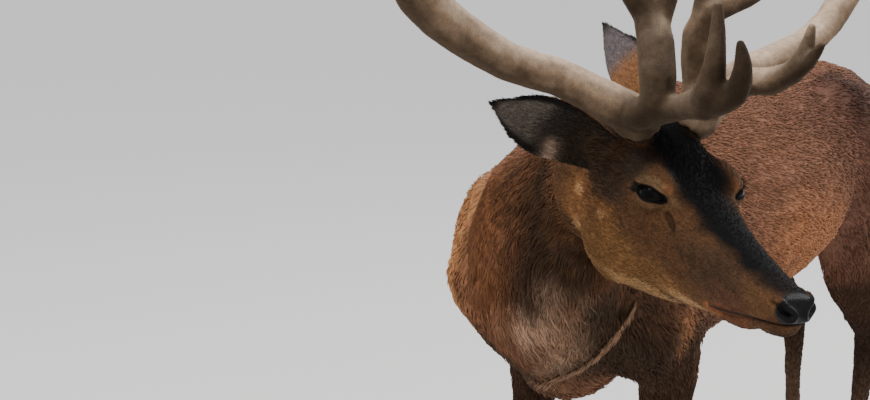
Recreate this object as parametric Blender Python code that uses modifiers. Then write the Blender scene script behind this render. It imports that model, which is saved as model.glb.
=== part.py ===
"""A standing red deer stag, life size, with antlers in velvet.

The stag faces -Y, its left side is +X and its soles rest on z = 0. The flesh is modelled whole from
lofts, and is then parted into head, neck, trunk, tail and legs with thin cuts. Ears, eyes, antlers
and hooves are pieces of their own, cut to meet the flesh with a small gap.
"""

import math

import bmesh
import bpy
import numpy as np
from mathutils import Matrix, Vector

# Driving dimensions, in metres and degrees.
collection_name = "red_deer_stag"
poll = Vector((0.315, -0.42, 1.205))   # top of the skull between the ears
head_yaw = 66.0                        # turned to its left
head_pitch = -18.1                     # nose below the poll
head_roll = 3.2                        # right side raised
gap = 0.0003                           # clearance between neighbouring pieces
cut_width = 0.0005                     # width of the cuts that part the flesh
voxel = 0.0060                         # fineness of the joined flesh
flesh_triangles = 2950
eye_radius = 0.0205
eye_place = (0.164, 0.0605, -0.023)    # forward, outward and up from the poll
sole_tilt = 12.0                       # slope of the coronet, higher in front

# Colours (linear RGB) and roughness.
finishes = {
    "coat": ((0.16, 0.055, 0.022), 0.85),
    "face": ((0.045, 0.024, 0.014), 0.85),
    "ear": ((0.06, 0.045, 0.04), 0.85),
    "velvet": ((0.22, 0.14, 0.095), 0.80),
    "horn": ((0.03, 0.025, 0.022), 0.45),
    "eye": ((0.006, 0.004, 0.004), 0.08),
}


def head_frame():
    """Forward, left and up of the head, as the columns of a matrix placed at the poll."""
    yaw, pitch, roll = (math.radians(v) for v in (head_yaw, head_pitch, head_roll))
    turn = Matrix.Rotation(yaw, 4, "Z")
    nod = Matrix.Rotation(-pitch, 4, "X")
    lean = Matrix.Rotation(roll, 4, "Y")
    base = Matrix(((0, 1, 0, 0), (-1, 0, 0, 0), (0, 0, 1, 0), (0, 0, 0, 1)))
    return Matrix.Translation(poll) @ turn @ nod @ lean @ base


head = head_frame()


def head_point(forward, left, up):
    return head @ Vector((forward, left, up))


def head_direction(forward, left, up):
    return (head.to_3x3() @ Vector((forward, left, up))).normalized()


def material(finish):
    if finish in bpy.data.materials:
        return bpy.data.materials[finish]
    colour, roughness = finishes[finish]
    made = bpy.data.materials.new(finish)
    made.use_nodes = True
    shader = made.node_tree.nodes["Principled BSDF"]
    shader.inputs["Base Color"].default_value = (*colour, 1)
    shader.inputs["Roughness"].default_value = roughness
    shader.inputs["Metallic"].default_value = 0
    return made


def collection(name):
    if name in bpy.data.collections:
        return bpy.data.collections[name]
    made = bpy.data.collections.new(name)
    bpy.context.scene.collection.children.link(made)
    return made


def put(name, mesh, finish=None, group=collection_name):
    made = bpy.data.objects.new(name, mesh)
    collection(group).objects.link(made)
    if finish:
        mesh.materials.clear()
        mesh.materials.append(material(finish))
        mesh.shade_smooth()
    else:
        made.hide_render = True
        made.display_type = "WIRE"
    return made


def bake(made):
    """Replace an object's mesh by what its modifiers make of it."""
    bpy.context.view_layer.update()
    evaluated = made.evaluated_get(bpy.context.evaluated_depsgraph_get())
    mesh = bpy.data.meshes.new_from_object(evaluated)
    made.modifiers.clear()
    made.data = mesh
    return made


def remove(made):
    bpy.data.objects.remove(made, do_unlink=True)


def through(rows, per_span):
    """Points of a smooth curve through all rows, each row being any list of numbers."""
    rows = np.array(rows, float)
    padded = np.vstack([2 * rows[0] - rows[1], rows, 2 * rows[-1] - rows[-2]])
    result = []
    for k in range(1, len(padded) - 2):
        a, b, c, d = padded[k - 1:k + 3]
        for step in range(per_span):
            t = step / per_span
            result.append(0.5 * (2 * b + (c - a) * t + (2 * a - 5 * b + 4 * c - d) * t ** 2
                                 + (3 * b - a - 3 * c + d) * t ** 3))
    result.append(rows[-1])
    return result


def ring(center, side, up, half_width, above, below, powers, count):
    """A superellipse whose widest level is at center, with its own reach and power above and below."""
    points = []
    for k in range(count):
        angle = 2 * math.pi * k / count
        across, rise = math.cos(angle), math.sin(angle)
        power = powers[0] if rise > 0 else powers[1]
        across = math.copysign(abs(across) ** (2 / power), across) * half_width
        rise = math.copysign(abs(rise) ** (2 / power), rise) * (above if rise > 0 else below)
        points.append(center + side * across + up * rise)
    return points


def loft(rings):
    """A closed body through rings of equal count."""
    bm = bmesh.new()
    loops = [[bm.verts.new(p) for p in points] for points in rings]
    count = len(loops[0])
    for first, second in zip(loops, loops[1:]):
        for k in range(count):
            j = (k + 1) % count
            bm.faces.new((first[k], first[j], second[j], second[k]))
    bm.faces.new(list(reversed(loops[0])))
    bm.faces.new(loops[-1])
    bmesh.ops.triangulate(bm, faces=[f for f in bm.faces if len(f.verts) > 4])
    bmesh.ops.recalc_face_normals(bm, faces=bm.faces)
    mesh = bpy.data.meshes.new("loft")
    bm.to_mesh(mesh)
    bm.free()
    return mesh


def blob(center, radii, turn=Matrix.Identity(3), segments=24):
    """An ellipsoid of muscle or bone."""
    bm = bmesh.new()
    bmesh.ops.create_uvsphere(bm, u_segments=segments, v_segments=segments * 2 // 3, radius=1)
    place = Matrix.Translation(center) @ turn.to_4x4() @ Matrix.Diagonal((*radii, 1))
    bmesh.ops.transform(bm, matrix=place, verts=bm.verts)
    mesh = bpy.data.meshes.new("blob")
    bm.to_mesh(mesh)
    bm.free()
    return mesh


def limb(rows, count=20, per_span=3):
    """A loft down a leg. Each row: x, y, z, half width across, half width fore and aft."""
    samples = through(rows, per_span)
    centers = [Vector(s[:3]) for s in samples]
    rings = []
    for k, sample in enumerate(samples):
        before, after = centers[max(k - 1, 0)], centers[min(k + 1, len(centers) - 1)]
        along = (after - before).normalized()
        fore = Vector((1, 0, 0)).cross(along).normalized()
        side = along.cross(fore).normalized()
        rings.append(ring(centers[k], side, fore, sample[3], sample[4], sample[4], (2, 2), count))
    return loft(rings)


def grown(made, distance):
    """A copy of a piece, larger by a distance all round, used as a cutter."""
    copy = put(made.name + "_cutter", made.data.copy(), group="cutters")
    swell = copy.modifiers.new("swell", "DISPLACE")
    swell.strength = distance
    swell.mid_level = 0
    return bake(copy)


def cut(made, cutter):
    boolean = made.modifiers.new("cut", "BOOLEAN")
    boolean.operation = "DIFFERENCE"
    boolean.solver = "EXACT"
    boolean.object = cutter
    return bake(made)


def pieces(made):
    """The loose bodies of a mesh, as meshes, without slivers."""
    bm = bmesh.new()
    bm.from_mesh(made.data)
    bm.verts.ensure_lookup_table()
    unseen = set(range(len(bm.verts)))
    found = []
    while unseen:
        stack = [unseen.pop()]
        members = set(stack)
        while stack:
            for edge in bm.verts[stack.pop()].link_edges:
                for vert in edge.verts:
                    if vert.index in unseen:
                        unseen.discard(vert.index)
                        members.add(vert.index)
                        stack.append(vert.index)
        found.append(members)
    meshes = []
    for members in found:
        if len(members) < 12:
            continue
        part = bm.copy()
        part.verts.ensure_lookup_table()
        others = [v for v in part.verts if v.index not in members]
        bmesh.ops.delete(part, geom=others, context="VERTS")
        mesh = bpy.data.meshes.new("piece")
        part.to_mesh(mesh)
        part.free()
        meshes.append(mesh)
    bm.free()
    return meshes


def keep_largest(made):
    made.data = max(pieces(made), key=lambda mesh: len(mesh.vertices))
    return made


def middle(mesh):
    points = np.empty(len(mesh.vertices) * 3)
    mesh.vertices.foreach_get("co", points)
    points = points.reshape(-1, 3)
    return Vector((points.min(0) + points.max(0)) / 2)


def trunk_mesh():
    """Rows from brisket to rump: y, topline, belly, half width, level of the widest part."""
    rows = [
        (-0.312, 0.895, 0.805, 0.050, 0.850),
        (-0.276, 0.975, 0.762, 0.125, 0.850),
        (-0.200, 1.075, 0.692, 0.200, 0.852),
        (-0.080, 1.165, 0.670, 0.226, 0.845),
        (0.060, 1.200, 0.680, 0.226, 0.850),
        (0.200, 1.185, 0.692, 0.225, 0.870),
        (0.380, 1.160, 0.702, 0.238, 0.900),
        (0.560, 1.148, 0.722, 0.228, 0.925),
        (0.700, 1.155, 0.760, 0.200, 0.960),
        (0.830, 1.165, 0.790, 0.186, 0.980),
        (0.940, 1.155, 0.810, 0.175, 0.985),
        (1.030, 1.115, 0.838, 0.140, 0.980),
        (1.085, 1.060, 0.880, 0.095, 0.970),
        (1.110, 1.010, 0.930, 0.045, 0.965),
    ]
    rings = []
    for y, top, belly, half_width, level in through(rows, 3):
        # the breast narrows to a keel, the barrel is round
        below = np.interp(y, (-0.20, 0.00), (1.55, 2.15))
        rings.append(ring(Vector((0, y, level)), Vector((1, 0, 0)), Vector((0, 0, 1)),
                          half_width, top - level, level - belly, (1.65, below), 36))
    return loft(rings)


def neck_mesh():
    """Rows from shoulders to skull: x, y, z, turn of the left side, half width, above, below."""
    last = head_point(0.035, 0.0, -0.105)
    near = head_point(-0.035, 0.0, -0.105)
    rows = [
        (0.000, 0.000, 0.930, 0, 0.170, 0.215, 0.265),
        (0.020, -0.140, 0.955, 8, 0.160, 0.185, 0.255),
        (0.075, -0.240, 0.995, 20, 0.140, 0.150, 0.225),
        (0.145, -0.315, 1.040, 34, 0.115, 0.125, 0.175),
        (near.x - 0.035, near.y + 0.040, near.z - 0.010, 48, 0.092, 0.105, 0.125),
        (near.x, near.y, near.z, 58, 0.080, 0.092, 0.100),
        (last.x, last.y, last.z, 66, 0.068, 0.080, 0.085),
    ]
    samples = through(rows, 4)
    centers = [Vector(s[:3]) for s in samples]
    rings = []
    for k, sample in enumerate(samples):
        before, after = centers[max(k - 1, 0)], centers[min(k + 1, len(centers) - 1)]
        along = (after - before).normalized()
        turn = math.radians(sample[3])
        side = Vector((math.cos(turn), math.sin(turn), 0))
        side = (side - along * side.dot(along)).normalized()
        up = along.cross(side)
        if up.z < 0:
            up.negate()
        rings.append(ring(centers[k], side, up, sample[4], sample[5], sample[6], (1.9, 2), 32))
    return loft(rings)


def head_mesh():
    """Rows from nape to nose, in the head's own frame: forward, top, bottom, half width, level."""
    rows = [
        (-0.045, -0.030, -0.130, 0.040, -0.075),
        (-0.015, -0.004, -0.165, 0.064, -0.072),
        (0.020, 0.014, -0.192, 0.072, -0.066),
        (0.060, 0.026, -0.206, 0.076, -0.058),
        (0.095, 0.030, -0.207, 0.077, -0.050),
        (0.125, 0.024, -0.199, 0.079, -0.042),
        (0.155, 0.008, -0.188, 0.078, -0.040),
        (0.190, -0.007, -0.176, 0.067, -0.048),
        (0.230, -0.015, -0.158, 0.055, -0.058),
        (0.275, -0.022, -0.139, 0.047, -0.064),
        (0.320, -0.028, -0.118, 0.041, -0.064),
        (0.360, -0.032, -0.099, 0.037, -0.062),
        (0.385, -0.034, -0.088, 0.036, -0.060),
        (0.404, -0.039, -0.076, 0.031, -0.058),
        (0.415, -0.049, -0.065, 0.018, -0.057),
    ]
    rings = []
    for forward, top, bottom, half_width, level in through(rows, 3):
        rings.append(ring(head_point(forward, 0, level), head_direction(0, 1, 0),
                          head_direction(0, 0, 1), half_width, top - level, level - bottom,
                          (2.1, 2.0), 32))
    return loft(rings)


def head_masses():
    turn = head.to_3x3()
    meshes = []
    for side in (1, -1):
        places = {
            "brow": ((0.150, 0.054 * side, -0.010), (0.040, 0.025, 0.024)),
            "cheek": ((0.095, 0.046 * side, -0.125), (0.075, 0.030, 0.065)),
            "cheekbone": ((0.205, 0.044 * side, -0.055), (0.060, 0.020, 0.022)),
            "ear root": ((0.028, 0.058 * side, -0.018), (0.030, 0.026, 0.030)),
            "pedicle": ((0.074, 0.036 * side, 0.018), (0.026, 0.024, 0.028)),
            "nostril": ((0.388, 0.019 * side, -0.052), (0.024, 0.018, 0.019)),
        }
        meshes += [blob(head_point(*place), radii, turn) for place, radii in places.values()]
    meshes.append(blob(head_point(0.375, 0, -0.084), (0.036, 0.026, 0.013), turn))
    return meshes


def foreleg_mesh(side, step):
    """Rows down the leg; step moves the foot forwards, fading out towards the elbow."""
    rows = [
        (0.115, -0.060, 0.960, 0.070, 0.130),
        (0.135, -0.045, 0.840, 0.072, 0.125),
        (0.144, 0.000, 0.740, 0.060, 0.098),
        (0.145, 0.012, 0.660, 0.047, 0.070),
        (0.142, 0.008, 0.560, 0.038, 0.050),
        (0.138, -0.004, 0.470, 0.032, 0.037),
        (0.137, -0.012, 0.420, 0.034, 0.038),
        (0.135, -0.006, 0.365, 0.025, 0.029),
        (0.132, -0.002, 0.260, 0.020, 0.025),
        (0.130, -0.002, 0.170, 0.021, 0.027),
        (0.130, -0.004, 0.130, 0.027, 0.032),
        (0.130, -0.018, 0.090, 0.025, 0.027),
        (0.130, -0.030, 0.055, 0.030, 0.035),
        (0.130, -0.038, 0.020, 0.030, 0.038),
    ]
    moved = []
    for x, y, z, across, fore in rows:
        share = min(max((0.80 - z) / 0.80, 0), 1)
        moved.append((x * side, y - step * share, z, across, fore))
    return limb(moved)


def hindleg_mesh(side, step, spread):
    """Rows down the leg; step moves the foot forwards and spread moves it outwards."""
    rows = [
        (0.085, 0.890, 1.060, 0.075, 0.165),
        (0.112, 0.884, 0.940, 0.084, 0.206),
        (0.126, 0.866, 0.840, 0.076, 0.206),
        (0.133, 0.862, 0.760, 0.063, 0.172),
        (0.134, 0.872, 0.700, 0.052, 0.130),
        (0.131, 0.899, 0.640, 0.042, 0.086),
        (0.126, 0.943, 0.580, 0.034, 0.058),
        (0.121, 0.990, 0.530, 0.030, 0.046),
        (0.118, 1.005, 0.490, 0.032, 0.045),
        (0.116, 1.000, 0.430, 0.027, 0.034),
        (0.114, 0.985, 0.330, 0.021, 0.027),
        (0.112, 0.970, 0.210, 0.021, 0.026),
        (0.112, 0.958, 0.135, 0.027, 0.033),
        (0.112, 0.938, 0.092, 0.025, 0.027),
        (0.112, 0.922, 0.055, 0.030, 0.035),
        (0.112, 0.912, 0.020, 0.030, 0.038),
    ]
    moved = []
    for x, y, z, across, fore in rows:
        share = min(max((0.95 - z) / 0.95, 0), 1)
        moved.append(((x + spread * share) * side, y - step * share, z, across, fore))
    return limb(moved, per_span=4)


def tail_mesh():
    rows = [
        (0, 1.030, 1.100, 0.036, 0.030),
        (0, 1.090, 1.080, 0.034, 0.027),
        (0, 1.138, 1.025, 0.031, 0.024),
        (0, 1.152, 0.960, 0.025, 0.019),
        (0, 1.150, 0.905, 0.010, 0.009),
    ]
    return limb(rows)


def body_masses():
    """Shoulder, haunch, hip and breast, over the lofts."""
    meshes = []
    for side in (1, -1):
        lean = Matrix.Rotation(math.radians(18), 3, "X")
        meshes.append(blob(Vector((0.132 * side, -0.085, 0.865)), (0.102, 0.125, 0.190), lean))
        meshes.append(blob(Vector((0.120 * side, 0.855, 0.950)), (0.090, 0.180, 0.170)))
        meshes.append(blob(Vector((0.088 * side, 0.760, 1.080)), (0.070, 0.090, 0.060)))
    meshes.append(blob(Vector((0.01, -0.215, 0.830)), (0.095, 0.080, 0.085)))
    meshes.append(blob(Vector((-0.01, -0.070, 0.715)), (0.095, 0.130, 0.098)))
    return meshes


# How far each foot is ahead of its usual place, and each hind foot outside it.
steps = {"fore_left": 0.015, "fore_right": 0.03, "hind_left": 0.045, "hind_right": -0.12}
spreads = {"hind_left": 0.015, "hind_right": -0.030}


def flesh():
    """All soft parts joined into one skin."""
    meshes = [trunk_mesh(), neck_mesh(), head_mesh(), tail_mesh()]
    meshes += head_masses() + body_masses()
    meshes.append(foreleg_mesh(1, steps["fore_left"]))
    meshes.append(foreleg_mesh(-1, steps["fore_right"]))
    meshes.append(hindleg_mesh(1, steps["hind_left"], spreads["hind_left"]))
    meshes.append(hindleg_mesh(-1, steps["hind_right"], spreads["hind_right"]))
    bm = bmesh.new()
    for mesh in meshes:
        bm.from_mesh(mesh)
        bpy.data.meshes.remove(mesh)
    joined = bpy.data.meshes.new("flesh")
    bm.to_mesh(joined)
    bm.free()
    body = put("flesh", joined, group="cutters")
    remesh = body.modifiers.new("join", "REMESH")
    remesh.mode = "VOXEL"
    remesh.voxel_size = voxel
    bake(body)
    plain = body.vertex_groups.new(name="plain")
    bulk = body.vertex_groups.new(name="bulk")
    face = head_point(0.18, 0, -0.08)
    for vert in body.data.vertices:
        off_head = min(max(((vert.co - face).length - 0.20) / 0.10, 0), 1)
        off_foot = min(max((vert.co.z - 0.55) / 0.15, 0), 1)
        plain.add([vert.index], 0.42 + 0.58 * min(off_head, 0.5 + 0.5 * off_foot), "REPLACE")
        bulk.add([vert.index], off_head * off_foot, "REPLACE")
    for group, turns in (("", 5), ("bulk", 36)):
        smooth = body.modifiers.new("soften", "SMOOTH")
        smooth.factor = 0.5
        smooth.iterations = turns
        smooth.vertex_group = group
    thin = body.modifiers.new("thin", "DECIMATE")
    thin.vertex_group = "plain"
    thin.vertex_group_factor = 0.6
    faces = sum(len(p.vertices) - 2 for p in body.data.polygons)
    thin.ratio = flesh_triangles / faces
    return bake(body)


def slab(center, normal, reach, thickness=cut_width):
    """A thin cutter; reach is its size across and along."""
    bm = bmesh.new()
    bmesh.ops.create_cube(bm, size=1)
    turn = Vector((0, 0, 1)).rotation_difference(Vector(normal).normalized()).to_matrix()
    place = Matrix.Translation(center) @ turn.to_4x4() @ Matrix.Diagonal((*reach, thickness, 1))
    bmesh.ops.transform(bm, matrix=place, verts=bm.verts)
    mesh = bpy.data.meshes.new("slab")
    bm.to_mesh(mesh)
    bm.free()
    return put("slab", mesh, group="cutters")


def foot(name):
    """Centre of a leg's foot on the floor."""
    side = 1 if "left" in name else -1
    if "fore" in name:
        share = (0.80 - 0.05) / 0.80
        return Vector((0.130 * side, -0.030 - steps[name] * share, 0))
    share = (0.95 - 0.05) / 0.95
    return Vector(((0.112 + spreads[name] * share) * side, 0.922 - steps[name] * share, 0))


def coronet(name):
    """Centre and slope of the line where flesh meets the hoof."""
    center = foot(name) + Vector((0, 0, 0.050))
    normal = Matrix.Rotation(math.radians(sole_tilt), 3, "X") @ Vector((0, 0, 1))
    return center, normal


def part_flesh(body):
    """Cut the flesh with thin slabs and name the bodies that come loose."""
    neck_base = Vector((0.060, -0.225, 0.990))
    neck_line = Vector((0.42, -0.86, 0.28))
    nape = head_point(-0.030, 0, -0.105)
    cuts = [
        (nape, Vector((0.80, -0.50, 0.10)), (0.42, 0.42)),
        (neck_base, neck_line, (0.62, 0.70)),
        (Vector((0, 1.118, 1.030)), Vector((0, 1, 0)), (0.30, 0.30)),
    ]
    for name in steps:
        ground = foot(name)
        if "fore" in name:
            joints = ((0.660, 0.5, (0.24, 0.30)), (0.395, 0, (0.12, 0.14)), (0.105, 0, (0.10, 0.12)))
        else:
            joints = ((0.700, 0, (0.20, 0.40)), (0.455, 0, (0.12, 0.18)), (0.110, 0, (0.10, 0.12)))
        side = 1 if "left" in name else -1
        for height, slope, reach in joints:
            center = leg_center(name, height)
            cuts.append((center, Vector((-slope * side, 0, 1)), reach))
        center, normal = coronet(name)
        cuts.append((center, normal, (0.10, 0.14)))
    for center, normal, reach in cuts:
        cutter = slab(center, normal, reach)
        cut(body, cutter)
        remove(cutter)
    anchors = {
        "head": head_point(0.15, 0, -0.09),
        "neck": (poll + neck_base) / 2,
        "trunk": Vector((0, 0.42, 0.92)),
        "tail": Vector((0, 1.145, 0.980)),
    }
    for name in steps:
        heights = (0.55, 0.25, 0.075) if "fore" in name else (0.60, 0.28, 0.080)
        for piece, height in zip(("forearm", "cannon", "pastern"), heights):
            if "hind" in name and piece == "forearm":
                piece = "gaskin"
            anchors[name + "_" + piece] = leg_center(name, height)
        anchors[name + "_waste"] = foot(name) + Vector((0, -0.01, 0.025))
    named = {}
    for mesh in pieces(body):
        where = middle(mesh)
        name = min(anchors, key=lambda n: (anchors[n] - where).length)
        if name.endswith("_waste"):
            continue
        finish = "face" if name == "head" else "coat"
        named[name] = put(name, mesh, finish)
    remove(body)
    return named


def leg_center(name, height):
    """Centre line of a leg at a height, read between the rows of its loft."""
    side = 1 if "left" in name else -1
    if "fore" in name:
        levels = [(0.055, 0.130, -0.030), (0.130, 0.130, -0.004), (0.260, 0.132, -0.002),
                  (0.420, 0.137, -0.012), (0.560, 0.142, 0.008), (0.740, 0.144, 0.000)]
        share, spread = min((0.80 - height) / 0.80, 1), 0
    else:
        levels = [(0.055, 0.112, 0.922), (0.135, 0.112, 0.958), (0.330, 0.114, 0.985),
                  (0.490, 0.118, 1.005), (0.530, 0.121, 0.990), (0.580, 0.126, 0.943),
                  (0.640, 0.131, 0.899), (0.700, 0.134, 0.872), (0.760, 0.133, 0.862)]
        share, spread = min((0.95 - height) / 0.95, 1), spreads[name]
    heights, xs, ys = zip(*levels)
    x = np.interp(height, heights, xs)
    y = np.interp(height, heights, ys)
    return Vector(((x + spread * share) * side, y - steps[name] * share, height))


def eyes(named):
    for side, word in ((1, "left"), (-1, "right")):
        center = head_point(eye_place[0], eye_place[1] * side, eye_place[2])
        for name, radius in (("eye_" + word, eye_radius), ("socket", eye_radius + gap)):
            bm = bmesh.new()
            bmesh.ops.create_uvsphere(bm, u_segments=14, v_segments=8, radius=radius)
            bmesh.ops.transform(bm, matrix=Matrix.Translation(center), verts=bm.verts)
            mesh = bpy.data.meshes.new(name)
            bm.to_mesh(mesh)
            bm.free()
            if name == "socket":
                cutter = put(name, mesh, group="cutters")
                cut(named["head"], cutter)
                remove(cutter)
            else:
                put(name, mesh, "eye")


def ear(name, root, tip, opening, skull):
    """A cupped leaf from root to tip; opening is the way its hollow faces."""
    half_width, thickness = 0.046, 0.007
    along = tip - root
    length = along.length
    along.normalize()
    face = (opening - along * opening.dot(along)).normalized()
    across = along.cross(face)
    rows, columns = 8, 6
    bm = bmesh.new()
    grid = []
    for i in range(rows):
        t = i / (rows - 1)
        width = half_width * (0.34 + 0.66 * math.sin(math.pi * min(t * 0.92 + 0.08, 1) ** 0.9) ** 0.8)
        width *= 1 - 0.93 * max(0, (t - 0.62) / 0.38) ** 1.8
        curl = math.radians(150 - 95 * t ** 0.6)
        row = []
        for j in range(columns):
            v = 2 * j / (columns - 1) - 1
            radius = width / math.sin(min(curl / 2, math.pi / 2))
            bend = v * curl / 2
            place = root + along * length * t + across * radius * math.sin(bend)
            place += face * (radius * (1 - math.cos(bend)) - 0.012 * math.sin(math.pi * t))
            row.append(bm.verts.new(place))
        grid.append(row)
    for i in range(rows - 1):
        for j in range(columns - 1):
            bm.faces.new((grid[i][j], grid[i][j + 1], grid[i + 1][j + 1], grid[i + 1][j]))
    mesh = bpy.data.meshes.new(name)
    bm.to_mesh(mesh)
    bm.free()
    made = put(name, mesh, "ear")
    shell = made.modifiers.new("thickness", "SOLIDIFY")
    shell.thickness = thickness
    shell.offset = 0
    bake(made)
    cut(made, skull)
    return keep_largest(made)


def ears(skull):
    ear("ear_right", head_point(0.030, -0.060, -0.022), head_point(0.002, -0.234, 0.034),
        head_direction(0.90, -0.10, -0.15), skull)
    ear("ear_left", head_point(0.020, 0.056, -0.012), head_point(-0.154, 0.026, 0.086),
        head_direction(0.15, 0.90, -0.25), skull)


def tube(name, rows, finish="velvet"):
    """A tapering tube with rounded ends. Each row: x, y, z, radius."""
    samples = through(rows, 1 if len(rows) > 5 else 2)
    curve = bpy.data.curves.new(name, "CURVE")
    curve.dimensions = "3D"
    curve.bevel_depth = 1
    curve.bevel_resolution = 2
    curve.use_fill_caps = True
    spline = curve.splines.new("POLY")
    spline.points.add(len(samples) - 1)
    for point, (x, y, z, radius) in zip(spline.points, samples):
        point.co = (x, y, z, 1)
        point.radius = radius
    drawn = bpy.data.objects.new(name + "_line", curve)
    collection("cutters").objects.link(drawn)
    bpy.context.view_layer.update()
    evaluated = drawn.evaluated_get(bpy.context.evaluated_depsgraph_get())
    mesh = bpy.data.meshes.new_from_object(evaluated)
    remove(drawn)
    bm = bmesh.new()
    bm.from_mesh(mesh)
    bmesh.ops.remove_doubles(bm, verts=bm.verts, dist=0.00005)
    bmesh.ops.recalc_face_normals(bm, faces=bm.faces)
    bm.to_mesh(mesh)
    bm.free()
    return put(name, mesh, finish)


# Antler rows: forward, outward, up and radius in centimetres, in the head's frame.
antler_rows = {
    "right": {
        "burr": [(7.6, 4.0, 2.2, 2.5), (7.4, 4.7, 3.9, 3.2), (6.4, 6.6, 5.0, 2.9)],
        "beam_lower": [(6.4, 6.6, 5.0, 2.9), (4.3, 10.0, 6.2, 2.6), (1.6, 14.8, 7.7, 2.5)],
        "beam_middle": [(1.6, 14.8, 7.7, 2.5), (0.3, 22.5, 9.4, 2.5), (-1.0, 29.5, 12.8, 2.8)],
        "beam_upper": [(-1.0, 29.5, 12.8, 2.8), (-2.2, 35.5, 17.0, 2.9), (-3.2, 40.5, 25.0, 2.6),
                       (-2.8, 42.0, 35.0, 2.4)],
        "bez": [(7.4, 6.4, 4.8, 2.2), (10.8, 7.1, 6.8, 2.2), (13.2, 7.3, 9.4, 2.15),
                (12.0, 7.1, 12.2, 2.4), (8.8, 6.3, 15.4, 2.4), (5.2, 5.9, 18.4, 2.2),
                (2.9, 7.8, 20.4, 1.7), (1.2, 10.2, 25.0, 1.3), (0.6, 11.6, 29.0, 0.7)],
        "bez_fork": [(6.6, 5.0, 17.4, 1.5), (6.3, 4.4, 21.5, 1.2), (6.6, 4.0, 25.0, 0.9),
                     (6.8, 3.9, 26.8, 0.5)],
        "brow": [(8.0, 4.4, 4.4, 1.9), (12.0, 5.3, 7.4, 1.7), (18.0, 6.3, 11.3, 1.7),
                 (22.0, 7.2, 13.4, 2.2), (23.2, 8.3, 15.8, 1.8), (22.8, 8.2, 19.0, 1.35),
                 (21.4, 8.0, 22.4, 0.95), (20.1, 8.2, 25.8, 0.6)],
        "brow_fork": [(22.8, 7.0, 13.8, 1.8), (26.0, 6.7, 16.6, 1.6), (26.2, 7.0, 20.2, 1.1),
                      (24.7, 7.4, 22.9, 0.5)],
    },
    "left": {
        "burr": [(7.6, 4.0, 2.2, 2.5), (7.4, 4.7, 3.9, 3.2), (6.6, 6.4, 5.0, 2.9)],
        "beam_lower": [(6.6, 6.4, 5.0, 2.9), (5.0, 9.6, 6.0, 2.5), (2.6, 14.5, 8.4, 2.4)],
        "beam_middle": [(2.6, 14.5, 8.4, 2.4), (0.6, 21.5, 9.9, 2.2), (-1.6, 28.5, 11.3, 2.2)],
        "beam_upper": [(-1.6, 28.5, 11.3, 2.2), (-4.6, 35.0, 14.0, 2.2), (-7.6, 40.5, 21.5, 2.3),
                       (-7.4, 43.0, 32.0, 2.3)],
        "bez": [(6.4, 6.2, 4.8, 2.2), (3.8, 6.9, 7.4, 2.3), (2.6, 6.2, 10.8, 2.3),
                (2.4, 5.4, 14.6, 2.3), (3.6, 5.4, 18.4, 2.0), (5.0, 9.0, 21.0, 1.7),
                (5.8, 12.6, 23.6, 1.2), (6.2, 14.8, 25.6, 0.6)],
        "bez_fork": [(2.4, 5.0, 17.0, 1.5), (2.2, 4.5, 21.5, 1.2), (2.6, 4.2, 25.0, 0.9),
                     (2.8, 4.1, 26.8, 0.5)],
        "brow": [(7.8, 4.6, 4.6, 1.9), (9.9, 5.8, 8.6, 1.9), (12.7, 6.8, 12.0, 1.9),
                 (16.6, 7.2, 13.8, 1.85), (19.4, 7.6, 16.4, 1.5), (20.0, 8.0, 19.4, 1.1),
                 (19.4, 8.1, 23.0, 0.5)],
        "brow_fork": [(18.8, 7.5, 15.6, 1.3), (21.4, 7.4, 18.4, 0.95), (22.9, 7.4, 21.9, 0.45)],
    },
}
# Tines near the top, measured from the top of the beam.
crown_rows = {
    "crown_inner": [(0, 0, 0, 1.0), (0.9, -1.6, 7.6, 0.88), (2.8, -5.0, 15.0, 0.62),
                    (3.6, -6.6, 18.4, 0.30)],
    "crown_outer": [(0, 0.2, -1.0, 0.78), (-1.4, 3.4, 5.0, 0.72), (-2.4, 5.8, 11.0, 0.60),
                    (-2.6, 6.8, 14.6, 0.28)],
    "crown_back": [(0, 0, 0.6, 0.70), (-3.8, -1.0, 5.2, 0.65), (-7.2, -3.0, 10.0, 0.50),
                   (-8.4, -4.0, 13.0, 0.25)],
    "trez": [(0.2, -1.0, -9.4, 0.75), (4.8, -1.6, -6.6, 0.68), (9.6, -2.0, -1.0, 0.55),
             (11.2, -2.2, 3.0, 0.28)],
}
antler_joins = {
    # each tine is cut to fit against the pieces named here
    "bez": ("burr", "beam_lower"),
    "bez_fork": ("bez",),
    "brow": ("burr", "beam_lower", "bez"),
    "brow_fork": ("brow",),
    "trez": ("beam_upper",),
    "crown_outer": ("beam_upper", "crown_inner"),
    "crown_back": ("beam_upper", "crown_inner", "crown_outer"),
}
antler_chain = ("burr", "beam_lower", "beam_middle", "beam_upper", "crown_inner")


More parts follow.
